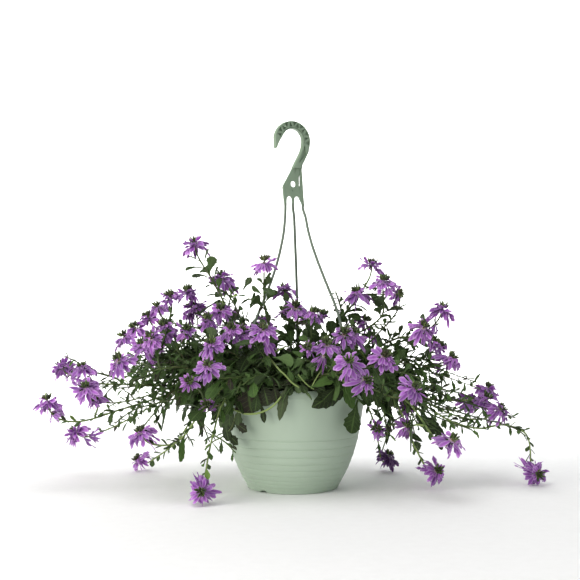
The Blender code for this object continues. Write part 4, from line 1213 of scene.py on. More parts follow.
def hangerDetails():
    # The plate and the legs are thinner than the hook, with a step where the hook's ribs end
    half = hangerValues["thick"] / 2
    beyond = half + 1
    thinning = []
    for name in ("plate", "legs"):
        left, right, low, high, rest = hangerValues[name]
        thinning += bothFaces(name, [(left, low), (right, low), (right, high), (left, high)], rest, beyond)
    x, z, radius = hangerValues["hole"]
    cutters = [standingPrism("plateHole", circle(x, z, radius, 40), -beyond, beyond)]
    x, z, radius, depth = hangerValues["dimple"]
    rest = hangerValues["plate"][4]
    cutters.append(standingPrism("dimple", circle(x, z, radius, 20), rest - depth, beyond))
    oblongs = []
    for name in ("slot", "groove"):
        x, low, high, wide = hangerValues[name]
        oblongs.append(arc((x, high), wide, 0, 180, 6) + arc((x, low), wide, 180, 360, 6))
    cutters.append(standingPrism("slot", oblongs[0], -beyond, beyond))
    cutters += bothFaces("groove", oblongs[1], half - hangerValues["grooveDepth"], beyond)
    x, z, wide, tall, depth = hangerValues["pocket"]
    recess = [(x - wide, z - tall), (x + wide, z - tall + 2)]
    recess += [(x + wide, z + tall), (x - wide * 0.4, z + tall)]
    cutters.append(standingPrism("recess", recess, rest - 0.9, beyond))
    return cutters + thinning


def strandBar(number):
    # A rounded flat strand down to its shoulder on the rim, the pin through the hole and the barb below
    route = strandRoutes[number]
    x, y = polar(potValues["rimHoleCircle"], strandValues["azimuths"][number])
    above = potValues["rimTop"] + hangerValues["fitGap"]
    below = potValues["rimTop"] - potValues["ledgeThick"] - hangerValues["fitGap"]
    wide = strandValues["width"] / 2 + hangerValues["strandExtra"][0]
    deep = strandValues["thick"] / 2 + hangerValues["strandExtra"][1]
    rings = []
    count = int(route.length / hangerValues["ringStep"])
    for i in range(count + 1):
        centre, along, side, face = route.at(route.length * i / count)
        if number == 2:
            lean = np.interp(centre.z, *zip(*hangerValues["rightLean"]))
            centre = centre + hookPlane(float(lean), 0, 0)
        if centre.z > above + 9:
            rings.append((centre, side * wide, face * deep))
    side, face = rings[-1][1].normalized(), rings[-1][2].normalized()
    flatSide = Vector((side.x, side.y, 0)).normalized()
    flatFace = Vector((-flatSide.y, flatSide.x, 0))
    if face.dot(flatFace) <= 0:
        flatFace = -flatFace
    shape = [(deep, above + 6), (deep * 1.25, above + 4), (hangerValues["shoulder"] * 0.9, above + 2.2)]
    shape += [(hangerValues["shoulder"], above + 1.4), (hangerValues["shoulder"], above)]
    shape += [(hangerValues["pin"], above), (hangerValues["pin"], below), (hangerValues["barb"], below)]
    shape += [(hangerValues["barb"] * 0.94, below - 1.0), (0.8, below - hangerValues["barbDrop"])]
    for half, height in shape:
        rings.append((Vector((x, y, height)), flatSide * half, flatFace * half))
    bar = ringTube("strand", rings, 12)
    # The strands' darker colour is painted shade on the hook's plastic
    bar.data.materials.append(strandPlasticPaintedShade)
    return bar


def hangerMoulding():
    half = hangerValues["thick"] / 2
    hanger = standingPrism("hangerMoulding", hookOutline(), -half, half)
    hanger.data.materials.append(hangerPlastic)
    applyModifier(hanger, "BEVEL", width=hangerValues["edge"], segments=2, limit_method="ANGLE",
                  angle_limit=math.radians(50), use_clamp_overlap=True)
    combine(hanger, hookPockets() + hangerDetails(), "DIFFERENCE")
    hanger.data.transform(Matrix.Rotation(math.radians(strandValues["turn"]), 4, "Z"))
    for number in range(3):
        combine(hanger, [strandBar(number)], "UNION")
    smooth(hanger, 34)
    return hanger


settle(hangerMoulding(), "hangerMoulding", None, "hanger_plastic", "hanger")
print("hanger modelled")


soilDetail = {
    "seed": 3,
    "gap": 0.75,
    "wallHeights": (20, 53, 95, 147),
    "rings": (118, 108, 96, 84, 72, 60, 48, 36, 24, 12),
    "sunk": 1.5,
    "sides": 72,
    "lumpsAbove": 150,
    "lump": 2.2,
    # How closely each layer of lumps follows the next, and its share of the height
    "layers": ((0.09, 1.0), (0.27, 0.6)),
    "crumbs": 260,
    "crumbReach": 120,
    "crumbSizes": ((1.2, 4.2), (1.2, 3.2), (0.9, 2.2)),
    "crumbDepth": 0.6,
}


def soilSurface():
    floor = potValues["floorLow"] + potValues["floorThick"] + 0.35
    inset = potValues["wall"] + soilDetail["gap"]
    sunk = soilDetail["sunk"]
    outline = [(0, floor), (potRadius(floor) - inset, floor)]
    outline += [(potRadius(h) - inset, h) for h in soilDetail["wallHeights"]]
    outline += [(potRadius(soilValues["edge"]) - inset, soilValues["edge"] - sunk)]
    outline += [(r, soilHeight(r) - sunk) for r in soilDetail["rings"]] + [(0, soilValues["crown"] - sunk)]
    soil = turnedShape("soilSurface", outline, soilDetail["sides"])
    for vert in soil.data.vertices:
        if vert.co.z > soilDetail["lumpsAbove"]:
            lump = sum(share * noise.noise(vert.co * wave) for wave, share in soilDetail["layers"])
            vert.co.z += soilDetail["lump"] * lump
    rng = random.Random(soilDetail["seed"])
    bpy.ops.mesh.primitive_ico_sphere_add(subdivisions=1, radius=1)
    crumb = bpy.context.object
    pieces = [soil]
    for i in range(soilDetail["crumbs"]):
        radius = soilDetail["crumbReach"] * math.sqrt(rng.random())
        x, y = polar(radius, rng.uniform(0, 360))
        mesh = crumb.data.copy()
        size = Vector([rng.uniform(*span) for span in soilDetail["crumbSizes"]])
        place = Matrix.Translation((x, y, soilHeight(radius) - soilDetail["crumbDepth"]))
        mesh.transform(place @ Matrix.Rotation(rng.uniform(0, 6.28), 4, "Z") @ Matrix.Diagonal((*size, 1)))
        pieces.append(newObject("crumb", mesh))
    bpy.data.objects.remove(crumb, do_unlink=True)
    soil = joined(pieces)
    smooth(soil, 60)
    return soil


settle(soilSurface(), "soilSurface", pottingSoil, "soil", "soil")
print("soil modelled")


# Flower heads on short side branches, beside those of the construction: place, way it faces, length of
# its petals and the number of its flowers
sideBlooms = (
    ((-214, -40, 337), (-0.2, -0.3, 0.9), 21, 5),
    ((-192, 40, 347), (-0.1, -0.1, 1.0), 23, 6),
    ((-262, 30, 300), (-0.4, -0.1, 0.9), 21, 5),
    ((-239, -110, 269), (-0.3, -0.5, 0.8), 23, 6),
    ((-222, -60, 288), (-0.2, -0.5, 0.8), 19, 4),
    ((-183, -60, 280), (0.0, -0.6, 0.8), 20, 4),
    ((-145, -90, 299), (-0.1, -0.5, 0.8), 19, 3),
    ((-277, -20, 283), (-0.5, -0.2, 0.8), 21, 5),
    ((-340, -60, 157), (-0.3, -0.4, 0.8), 19, 3),
    ((-170, -150, 198), (-0.1, -0.8, 0.5), 18, 3),
    ((-143, -122, 158), (-0.2, -0.9, 0.2), 16, 2),
    ((-104, -104, 283), (0.1, -0.6, 0.8), 22, 4),
    ((-18, 42, 309), (0.2, -0.2, 1.0), 14, 2),
    ((36, -62, 309), (0.1, -0.4, 0.9), 17, 3),
    ((52, -6, 303), (0.2, -0.2, 1.0), 15, 3),
    ((24, -160, 253), (-0.1, -0.8, 0.6), 15, 2),
    ((86, -108, 276), (0.1, -0.6, 0.8), 22, 5),
    ((192, 60, 342), (0.9, -0.2, 0.2), 22, 5),
    ((250, 0, 257), (0.3, -0.4, 0.8), 20, 4),
    ((266, 40, 246), (0.4, -0.3, 0.8), 19, 4),
    ((345, 4, 156), (0.3, -0.4, 0.8), 23, 6),
    ((191, -110, 121), (0.2, -0.7, 0.5), 20, 4),
    ((141, -122, 117), (-0.2, -0.8, 0.4), 17, 3),
    ((199, -42, 146), (0.2, -0.7, 0.4), 17, 3),
    ((150, 150, 262), (0.3, 0.5, 0.8), 22, 5),
    ((-60, 150, 290), (-0.1, 0.4, 0.9), 22, 5),
    ((-150, 160, 235), (-0.3, 0.6, 0.7), 21, 5),
    ((225, 130, 190), (0.5, 0.4, 0.7), 21, 5),
    ((95, 175, 150), (0.2, 0.8, 0.4), 20, 4),
)

# What foliage has to keep clear of: the strands, the pot's wall and the flowers' own room
strandLine = np.concatenate([samples(r, 0) for r in strandRoutes])
headSpots = np.array([tuple(stem["head"]) for stem in stems] + [row[0] for row in sideBlooms])
foliageValues = {
    "seed": 23,
    "stemRoom": 4.0,
    "strandRoom": 4.5,
    "headRoom": 21.0,
    "viewRoom": (19.0, 75.0),
}
rng = random.Random(foliageValues["seed"])


def hidesFlower(spot):
    # Leaves stay out of each flower head and of the room in front of it and above it
    away = headSpots - array(spot)
    near = np.sqrt((away**2).sum(axis=1)).min() < foliageValues["headRoom"]
    half, depth = foliageValues["viewRoom"]
    side = np.hypot(away[:, 0], away[:, 2] + 4) < half
    return near or bool((side & (away[:, 1] > 0) & (away[:, 1] < depth)).any())


def keepsClear(spots):
    # True where a blade's points miss the strands and the pot's rim and wall
    if clearance(spots, strandLine) < foliageValues["strandRoom"]:
        return False
    radius = np.hypot(spots[:, 0], spots[:, 1])
    wall = (radius > 112) & (radius < potValues["rimRadius"] + 1.5)
    wall = wall & (spots[:, 2] < potValues["rimTop"] + 1.5)
    below = spots[:, 2] < 150
    outer = np.array([potRadius(z) for z in spots[:, 2]]) + 2
    return not wall.any() and not (below & (radius < outer)).any() and spots[:, 2].min() > 0.3


def points(piece):
    values = np.empty(len(piece.data.vertices) * 3, np.float32)
    piece.data.vertices.foreach_get("co", values)
    return values.reshape(-1, 3)


def tryLeaf(pieces, form, base, way, length, tint, widen=1.0, **bends):
    # A leaf in a free direction round its node, left out where it would cut a strand, the pot or a flower
    way = Vector(way).normalized()
    if hidesFlower(Vector(base) + way * length * 0.6):
        return False
    across = way.cross(up)
    if across.length < 0.1:
        across = Vector((1, 0, 0))
    across = Matrix.Rotation(rng.uniform(-0.7, 0.7), 3, way) @ across.normalized()
    droop = bends.pop("droop", rng.uniform(0.1, 0.6)) * way.xy.length
    leaf = leafCopy(form, base, way, across, length, droop, tint,
                    fold=rng.uniform(0.15, 0.5), cup=rng.uniform(0, 0.5),
                    widen=widen * rng.uniform(0.85, 1.2), twist=rng.uniform(-0.5, 0.5), **bends)
    if not keepsClear(points(leaf)):
        mesh = leaf.data
        bpy.data.objects.remove(leaf, do_unlink=True)
        bpy.data.meshes.remove(mesh)
        return False
    pieces.append(leaf)
    return True


def leafTint(reach):
    # Dark in the mound's depth, fresher toward its edge and the tips, now and then flushed brown
    if rng.random() < 0.07:
        return rng.uniform(0.0, 0.06)
    return min(1.0, max(0.12, rng.gauss(0.38 + 0.3 * reach, 0.15)))


def around(first, second, turn):
    # The direction at an angle between two that are square to each other
    return first * math.cos(turn) + second * math.sin(turn)


def leafNodes(route, place, end, step):
    # The nodes up a stem, a little under 140 degrees apart round it: place, way along it, way out of it and
    # share of its length
    turn = rng.uniform(0, 6.28)
    while place < end:
        spot, along, side, face = route.at(place)
        yield spot, along, around(side, face, turn), place / route.length
        turn += 2.4 + rng.uniform(-0.4, 0.4)
        place += rng.uniform(*step)


def tubeRow(route, count, thick, taper, tint):
    # One stem for stemTubes, evenly along its route. Its end has lost the share taper of its radius.
    spots = [route.at(route.length * i / count)[0] for i in range(count + 1)]
    return spots, [thick * (1 - taper * i / count) for i in range(count + 1)], tint


# Leaves of a flowering stem: their lengths, how often they are large in the mound, and where they start
stemLeaves = {
    "large": (30, 46),
    "middle": (22, 34),
    "outer": (17, 25),
    "bract": (11, 17),
    "largeShare": 0.45,
    "leafShare": 0.75,
    "outerShare": 0.2,
    "leaderStart": 26.0,
    "start": 14.0,
    "step": (5.5, 10),
    "mound": (205.0, 150.0),
}


def clotheStem(pieces, stem):
    # Alternate leaves and bracts up a flowering stem, large in the mound and small toward the head
    route = stem["route"]
    start = stemLeaves["leaderStart"] if stem["parent"] is None else stemLeaves["start"]
    radius, height = stemLeaves["mound"]
    for spot, along, out, reach in leafNodes(route, start, route.length - 9, stemLeaves["step"]):
        inMound = spot.xy.length < radius and spot.z > height
        way = along * rng.uniform(0.7, 1.4) + out + up * rng.uniform(0.0, 0.35)
        if inMound and rng.random() < stemLeaves["leafShare"]:
            form = "large" if rng.random() < stemLeaves["largeShare"] else "middle"
            tryLeaf(pieces, form, spot, way, rng.uniform(*stemLeaves[form]), leafTint(reach))
        elif rng.random() < stemLeaves["outerShare"] and reach < 0.7:
            tryLeaf(pieces, "middle", spot, way, rng.uniform(*stemLeaves["outer"]), leafTint(reach),
                    droop=rng.uniform(0, 0.3))
        else:
            tryLeaf(pieces, "small", spot, way + along * 0.3, rng.uniform(*stemLeaves["bract"]),
                    leafTint(reach), widen=1.55, droop=rng.uniform(-0.15, 0.15))


# Side branches: their length, where the first one leaves the leader or another stem, and their leaves
branchValues = {
    "reach": (32, 70),
    "leaderStart": 40.0,
    "start": 24.0,
    "lowest": 40.0,
    "thick": 1.5,
    "step": (42, 74),
    "leafStep": (6, 11),
    "middle": (17, 28),
    "small": (12, 19),
    "middleShare": 0.55,
}


def sideShoots(pieces, rows, stem):
    # Short leafy branches from the nodes of the long stems
    route = stem["route"]
    place = branchValues["leaderStart"] if stem["parent"] is None else branchValues["start"]
    turn = rng.uniform(0, 6.28)
    while place < route.length * 0.8:
        spot, along, side, face = route.at(place)
        if spot.z > branchValues["lowest"]:
            reach = rng.uniform(*branchValues["reach"]) * (1.1 - 0.6 * place / route.length)
            way = (along * rng.uniform(0.5, 1.1) + around(side, face, turn) + up * 0.3).normalized()
            end = spot + way * reach + up * rng.uniform(-0.25, 0.1) * reach
            branch = Route([spot, spot.lerp(end, 0.5) + up * reach * 0.08, end])
            line = samples(branch, 4)
            if clearance(line, strandLine) > foliageValues["stemRoom"] and keepsClear(line) and end.z > 12:
                count = max(4, int(branch.length / 8))
                rows.append(tubeRow(branch, count, branchValues["thick"], 1 / 3, rng.uniform(0.15, 0.6)))
                for base, ahead, out, share in leafNodes(branch, 6, branch.length, branchValues["leafStep"]):
                    form = "middle" if rng.random() < branchValues["middleShare"] else "small"
                    length = rng.uniform(*branchValues[form])
                    if form == "middle":
                        length *= 1.15 - 0.5 * share
                    way = ahead * rng.uniform(0.4, 1.1) + out
                    tryLeaf(pieces, form, base, way, length, leafTint(share))
        turn += 2.1 + rng.uniform(-0.5, 0.5)
        place += rng.uniform(*branchValues["step"])


def stemRow(stem):
    # Points, radii and tint of one stem's tube, up through its flower head
    route = stem["route"]
    count = max(6, int(route.length / 6))
    thick = 2.5 if stem["parent"] is None else 2.1
    spots = []
    radii = []
    if stem["parent"] is None:
        spots.append(route.at(0)[0] - up * 22)
        radii.append(thick)
    for i in range(count + 1):
        share = i / count
        spots.append(route.at(route.length * share)[0])
        radii.append(thick + (1.4 - thick) * share + 0.12 * math.sin(i * 1.9))
    spots += [stem["head"], stem["head"] + stem["facing"] * 5]
    radii += [1.3, 1.6]
    tint = rng.uniform(0.3, 0.65) if stem["head"].z > 170 else rng.uniform(0.7, 1.0)
    return spots, radii, tint


# Leaves of the construction that hang low beside the pot are drawn smaller, as in the photograph: below
# this height, beyond this radius and by this share
lowLeaves = {"height": 145.0, "radius": 150.0, "share": 0.6}
for spray in sprays:
    own = [stem for stem in stems if stem["spray"] == spray]
    rows = [stemRow(stem) for stem in own]
    pieces = []
    for blade in readBlades(spray, own):
        length = blade["way"].length
        way = blade["way"] / length
        droop = blade["droop"] / length
        if blade["base"].z < lowLeaves["height"] and blade["base"].xy.length > lowLeaves["radius"]:
            length *= lowLeaves["share"]
        form = "large" if blade["large"] else ("middle" if length > 17 else "small")
        pieces.append(leafCopy(form, blade["base"], way, blade["across"], length, droop, leafTint(0.5),
                               fold=0.4, cup=0.3, twist=rng.uniform(-0.7, 0.7)))
    for stem in own:
        clotheStem(pieces, stem)
        sideShoots(pieces, rows, stem)
    settleFoliage("foliage_" + spray, rows, pieces, spray)
print("leaves of the construction dressed")


# Shoots without flowers: radius, lengths of the leaves at the root and the tip, how often a long leaf is
# broad, the steps between leaves and how far they sag
shootKinds = {
    "mound": {"thick": 1.5, "lengths": (42, 26), "broad": 0.65, "step": (8.0, 14.0), "sag": 0.7},
    "flank": {"thick": 1.6, "lengths": (31, 18), "broad": 0.4, "step": (6.5, 11.0), "sag": 0.35},
    "trailer": {"thick": 2.1, "lengths": (26, 15), "broad": 0.25, "step": (5.5, 9.0), "sag": 0.3},
}


def leafyShoot(rows, pieces, route, start, kind):
    # A shoot with leaves from start on, of the kind's first length near its root and the second at its tip
    rows.append(tubeRow(route, max(6, int(route.length / 8)), kind["thick"], 0.45, rng.uniform(0.05, 0.5)))
    low, high = kind["lengths"]
    for spot, along, out, reach in leafNodes(route, start, route.length, kind["step"]):
        way = along * rng.uniform(0.3, 1.0) + out + up * rng.uniform(0, 0.3)
        length = (low + (high - low) * reach) * rng.uniform(0.8, 1.25)
        broad = length > 24 and rng.random() < kind["broad"]
        form = "large" if broad else ("middle" if length > 17 else "small")
        droop = rng.uniform(0.0, kind["sag"]) if length > 20 else rng.uniform(-0.1, 0.3)
        tryLeaf(pieces, form, spot, way, length, leafTint(reach), droop=droop)


moundValues = {
    "shoots": 80,
    "reach": (272.0, 182.0, 126.0),
    "centre": 176.0,
    # Steps of azimuth and lift that spread the shoots evenly without a pattern
    "steps": (0.61803, 0.7548),
    "lift": (0.12, 0.86),
    "grown": (0.72, 1.0),
    "root": (15, 88),
    "arch": (18, 40),
    "lowest": 205,
    "thinBeyond": 130.0,
    "thinEvery": 5,
}


def drawnSpot(radii, heights, azimuth, stray):
    return polarSpot(rng.uniform(*radii), azimuth + rng.uniform(-stray, stray), rng.uniform(*heights))


def shootRoot(radii, azimuth):
    # Where a shoot starts, a little below the soil
    radius = rng.uniform(*radii)
    return polarSpot(radius, azimuth + rng.uniform(-25, 25), soilHeight(radius) - 3)


def moundShoots():
    # Leafy shoots without flowers, which fill the dome between the flowering stems
    rows = []
    pieces = []
    a, b, c = moundValues["reach"]
    turnStep, liftStep = moundValues["steps"]
    low, more = moundValues["lift"]
    for number in range(moundValues["shoots"]):
        azimuth = 360 * (number * turnStep) % 360
        lift = low + more * ((number * liftStep) % 1)
        ring = math.sqrt(max(0.05, 1 - lift**2))
        x, y = polar(1, azimuth)
        grow = rng.uniform(*moundValues["grown"])
        height = moundValues["centre"] + c * lift * grow
        end = Vector((a * x * ring * grow, b * y * ring * grow, height))
        # The right side is thinly leaved above the rim
        if end.x > moundValues["thinBeyond"] and number % moundValues["thinEvery"]:
            continue
        root = shootRoot(moundValues["root"], azimuth)
        middle = root.lerp(end, 0.5) + up * rng.uniform(*moundValues["arch"])
        middle.z = max(middle.z, moundValues["lowest"])
        route = Route([root, root + up * 16, middle, end], up, (end - middle).normalized() - up * 0.2)
        if clearance(samples(route, 6), strandLine) > foliageValues["stemRoom"]:
            leafyShoot(rows, pieces, route, 34, shootKinds["mound"])
    settleFoliage("moundShoots", rows, pieces)


moundShoots()


# Where the shoots of each flank end: the middle of the flank, its half sizes, and how many shoots
flanks = {
    "flankLeft": ((-246, -14, 196), (94, 90, 46), 24),
    "flankRight": ((246, -8, 176), (98, 92, 56), 19),
    "flankBack": ((0, 150, 200), (150, 60, 60), 22),
}
# Leafy shoots that trail beside the long flowering stems
trailers = {
    "flankLeft": (
        ((-100, -20, 205), (-200, -40, 200), (-290, -50, 200)),
        ((-110, 10, 205), (-220, 0, 186), (-312, -20, 176)),
        ((-110, -60, 202), (-200, -82, 165), (-270, -86, 146), (-304, -80, 122)),
        ((-116, -20, 204), (-200, -52, 180), (-240, -70, 136), (-264, -75, 106)),
    ),
    "flankRight": (
        ((105, -60, 205), (200, -62, 172), (290, -48, 137), (372, -22, 113)),
        ((108, -30, 205), (210, -30, 182), (310, -22, 150), (396, -2, 122)),
        ((110, -66, 202), (190, -92, 160), (250, -96, 132), (304, -90, 112)),
        ((112, 4, 204), (215, 10, 178), (300, 14, 165), (352, 20, 140)),
        ((100, -68, 202), (138, -82, 188), (152, -96, 150), (160, -98, 98)),
        ((110, -34, 205), (168, -46, 180), (202, -60, 142), (216, -70, 112)),
        ((100, 10, 214), (148, 6, 268), (178, 6, 300), (191, 6, 324), (188, 6, 348)),
    ),
    "flankBack": (
        ((60, 106, 203), (100, 150, 180), (120, 180, 120)),
        ((-70, 100, 203), (-120, 150, 175), (-150, 185, 118)),
    ),
}


# The radius where a flank's shoots start, the radius and height where they pass the rim, how far they arch
# and the share without leaves
flankValues = {"root": (60, 98), "over": ((118, 138), (204, 232)), "arch": (4, 22), "bare": 0.38}


def flank(name):
    # Shoots that leave the soil, clear the rim and fan out to one side
    centre, halves, number = flanks[name]
    rows = []
    pieces = []
    for i in range(number):
        while True:
            away = Vector((rng.uniform(-1, 1), rng.uniform(-1, 1), rng.uniform(-1, 1)))
            if 0.35 < away.length < 1:
                break
        end = Vector(centre) + Vector([a * h for a, h in zip(away, halves)])
        azimuth = math.degrees(math.atan2(end.y, end.x))
        root = shootRoot(flankValues["root"], azimuth)
        over = drawnSpot(*flankValues["over"], azimuth, 14)
        middle = over.lerp(end, 0.5) + up * rng.uniform(*flankValues["arch"])
        route = Route([root, over, middle, end], up)
        line = samples(route, 40)
        if clearance(line, strandLine) > foliageValues["stemRoom"] and keepsClear(line):
            leafyShoot(rows, pieces, route, route.length * flankValues["bare"], shootKinds["flank"])
    for spots in trailers[name]:
        root = Vector((*(Vector(spots[0]).xy * 0.72), soilHeight(80) - 3))
        route = Route([root, *spots], up)
        leafyShoot(rows, pieces, route, 60, shootKinds["trailer"])
    settleFoliage(name, rows, pieces)


for name in flanks:
    flank(name)


# Shoots over the rim: how many, the part of the front that is left to the next piece, and the radius and
# height where each starts, passes the rim and ends
rimValues = {
    "shoots": 54,
    "frontGap": (-128, -46),
    "root": ((92, 104), 158),
    "crossing": (118, 192),
    "over": ((134, 142), (188, 197)),
    "end": ((146, 160), (164, 190)),
    "hanging": (26, 50),
    "sideways": (30, 44),
}


def rimLeaves():
    # Leaves that lean over the rim all round and hang against the pot's upper side
    rows = []
    pieces = []
    low, high = rimValues["frontGap"]
    for number in range(rimValues["shoots"]):
        azimuth = (360 * number / rimValues["shoots"] + rng.uniform(-9, 9) + 180) % 360 - 180
        if low < azimuth < high:
            continue
        radii, height = rimValues["root"]
        root = polarSpot(rng.uniform(*radii), azimuth + rng.uniform(-6, 6), height)
        radius, height = rimValues["crossing"]
        crossing = polarSpot(radius, azimuth, height)
        radii, heights = rimValues["over"]
        over = polarSpot(rng.uniform(*radii), azimuth, rng.uniform(*heights))
        end = drawnSpot(*rimValues["end"], azimuth, 8)
        route = Route([root, crossing, over, end], up)
        if clearance(samples(route, 0), strandLine) < foliageValues["stemRoom"]:
            continue
        rows.append(tubeRow(route, 10, 1.3, 0.5 / 1.3, 0.7))
        out = polarSpot(1, azimuth, 0)
        way = out + up * (-0.9 + rng.uniform(-0.3, 0.5))
        tryLeaf(pieces, "large", end, way, rng.uniform(*rimValues["hanging"]), leafTint(0.2),
                droop=rng.uniform(0.1, 0.7))
        spot, along, side, face = route.at(route.length * 0.72)
        for sign in (-1, 1):
            way = up.cross(out) * sign + out * 0.6 - up * rng.uniform(0, 0.5)
            tryLeaf(pieces, "large", spot, way, rng.uniform(*rimValues["sideways"]), leafTint(0.2),
                    droop=rng.uniform(0.3, 0.8))
    settleFoliage("rimLeaves", rows, pieces)


rimLeaves()


# Single leaves in the photograph, most of them over the front of the rim: form, base, tip, tint and how
# broad. Dark ones hang down, fresh ones stand above them.
frontLeaves = (
    ("large", (-99, -94, 192), (-93, -106, 160), 0.16, 1.4),
    ("large", (-80, -118, 199), (-70, -134, 151), 0.03, 2.2),
    ("large", (-58, -128, 184), (-63, -136, 150), 0.34, 1.1),
    ("large", (-52, -124, 198), (-42, -135, 160), 0.08, 1.7),
    ("large", (-34, -130, 196), (-27, -138, 166), 0.06, 1.3),
    ("large", (-14, -136, 199), (-5, -144, 177), 0.24, 1.3),
    ("large", (-2, -133, 199), (11, -138, 181), 0.36, 1.2),
    ("large", (12, -136, 198), (20, -142, 180), 0.28, 1.2),
    ("broad", (-11, -144, 190), (-22, -145, 138), 0.03, 0.72),
    ("small", (-52, -132, 155), (-48, -134, 131), 0.1, 1.2),
    ("broad", (92, -118, 188), (32, -146, 157), 0.16, 1.0),
    ("large", (74, -128, 190), (50, -142, 168), 0.14, 1.1),
    ("large", (102, -92, 192), (70, -122, 176), 0.3, 0.9),
    ("broad", (28, -149, 189), (90, -128, 209), 0.84, 0.5),
    ("large", (20, -135, 194), (52, -131, 182), 0.24, 1.0),
    ("large", (118, -67, 190), (94, -104, 178), 0.28, 0.9),
    ("large", (109, -100, 166), (98, -116, 115), 0.4, 1.15),
    ("large", (-105, -95, 167), (-109, -91, 112), 0.1, 0.8),
    ("large", (-93, -108, 161), (-92, -107, 119), 0.14, 0.7),
    ("middle", (-102, -99, 128), (-78, -117, 113), 0.06, 1.3),
    ("middle", (-114, -84, 106), (-94, -105, 90), 0.14, 1.3),
    ("large", (-118, -86, 169), (-123, -82, 121), 0.28, 0.8),
    ("large", (-132, -71, 182), (-138, -64, 140), 0.3, 0.9),
    ("large", (-121, -81, 145), (-110, -92, 97), 0.2, 0.8),
    ("large", (-34, -130, 238), (0, -146, 231), 0.74, 1.2),
    ("large", (-9, -138, 224), (-4, -145, 200), 0.62, 1.0),
    ("large", (-4, -136, 215), (18, -141, 237), 0.78, 1.0),
    ("middle", (31, -139, 207), (33, -139, 229), 0.7, 1.2),
    ("middle", (39, -136, 214), (44, -135, 232), 0.66, 1.0),
    ("middle", (44, -135, 214), (60, -130, 223), 0.78, 0.8),
    ("middle", (24, -140, 204), (16, -142, 219), 0.66, 1.2),
    ("large", (-52, -108, 257), (-72, -120, 229), 0.3, 1.2),
    ("large", (-73, -95, 245), (-89, -109, 215), 0.24, 1.3),
    ("large", (-39, -126, 216), (-62, -129, 193), 0.2, 1.4),
    ("large", (-79, -105, 222), (-96, -106, 195), 0.3, 1.2),
    ("middle", (-88, -12, 350), (-72, -16, 375), 0.32, 1.3),
    ("middle", (-50, -46, 351), (-40, -50, 376), 0.36, 1.4),
    ("middle", (-76, -28, 318), (-62, -32, 342), 0.4, 1.3),
    ("broad", (150, -8, 160), (176, -12, 118), 0.18, 0.7),
    ("broad", (172, -10, 128), (166, -12, 82), 0.16, 0.5),
    ("broad", (214, -24, 128), (264, -28, 96), 0.16, 1.0),
    ("broad", (196, -26, 102), (226, -30, 84), 0.22, 0.7),
    ("middle", (240, -20, 92), (262, -24, 80), 0.3, 1.0),
    ("large", (62, -112, 246), (87, -116, 229), 0.45, 1.2),
    ("large", (70, -112, 219), (99, -103, 201), 0.35, 1.2),
)
# Single stems, most of them in front of the rim: radius, tint and the points they pass
frontStems = (
    (2.2, 0.9, ((-150, -70, 206), (-141, -84, 194), (-130, -96, 182), (-119, -108, 168), (-107, -120, 156),
                (-93, -132, 149), (-78, -140, 145), (-61, -145, 146), (-48, -147, 150), (-37, -148, 156),
                (-28, -148, 164), (-20, -146, 174))),
    (1.8, 0.9, ((-42, -118, 239), (-32, -134, 228), (-22, -143, 217), (-12, -147, 208), (-2, -149, 197),
                (10, -148, 189))),
    (1.3, 0.9, ((8, -145, 211), (16, -147, 201), (26, -146, 191), (34, -142, 186))),
    (1.3, 0.9, ((56, -134, 232), (48, -141, 219), (39, -145, 206), (31, -146, 191))),
    (1.2, 0.75, ((92, -96, 196), (100, -92, 186), (107, -89, 175), (111, -85, 159))),
    (1.7, 0.35, ((112, -60, 196), (138, -30, 168), (160, -20, 146), (172, -14, 128), (168, -14, 100),
                 (158, -14, 66))),
    (1.5, 0.35, ((190, -20, 150), (208, -22, 120), (216, -26, 84), (222, -28, 56))),
    (1.4, 0.7, ((-96, -104, 140), (-105, -95, 116), (-121, -81, 99), (-136, -68, 90), (-151, -54, 78))),
)


fringe = {
    "leaves": 44,
    "azimuths": (-132, 96),
    "baseRadius": (96, 116),
    "baseHeight": (188, 204),
    "tipRadius": (132, 142),
    # The low tints are partly the leaves' own dark green and partly painted shade beneath the flower heads
    "tint": (0.02, 0.28),
}


def frontOfRim():
    pieces = []
    rows = []
    for form, base, tip, tint, broad in frontLeaves:
        base, tip = Vector(base), Vector(tip)
        way = tip - base
        length = way.length
        outward = Vector((base.x * 0.25, -100, 0)).normalized()
        across = Matrix.Rotation(rng.uniform(-0.35, 0.35), 3, way) @ way.cross(outward).normalized()
        bow = rng.uniform(0.05, 0.14)
        way = (way.normalized() + up * bow).normalized()
        pieces.append(leafCopy(form, base, way, across, length, bow, tint, fold=rng.uniform(0.2, 0.45),
                               cup=rng.uniform(0.1, 0.5), widen=broad, twist=rng.uniform(-0.25, 0.25)))
    for radius, tint, spots in frontStems:
        route = Route(spots)
        rows.append(tubeRow(route, int(route.length / 5), radius, 0.3, tint))
    # A fringe of leaves from the mound's edge hides the soil and the rim's top
    first, span = fringe["azimuths"]
    for i in range(fringe["leaves"]):
        azimuth = first + span * (i + 0.5) / fringe["leaves"] + rng.uniform(-2, 2)
        base = polarSpot(rng.uniform(*fringe["baseRadius"]), azimuth, rng.uniform(*fringe["baseHeight"]))
        x, y = polar(rng.uniform(*fringe["tipRadius"]), azimuth + rng.uniform(-14, 14))
        tip = Vector((x, y, rng.uniform(183, 195)))
        way = tip - base
        lifted = (way.normalized() + up * 0.1).normalized()
        # Their dark tint is partly painted shade beneath the flower heads
        leaf = leafCopy("large", base, lifted, way.cross(up).normalized(), way.length, 0.1,
                        rng.uniform(*fringe["tint"]), fold=0.2, cup=0.3, widen=rng.uniform(0.9, 1.4))
        if keepsClear(points(leaf)):
            pieces.append(leaf)
        else:
            bpy.data.objects.remove(leaf, do_unlink=True)
    settleFoliage("frontOfRim", rows, pieces)


frontOfRim()


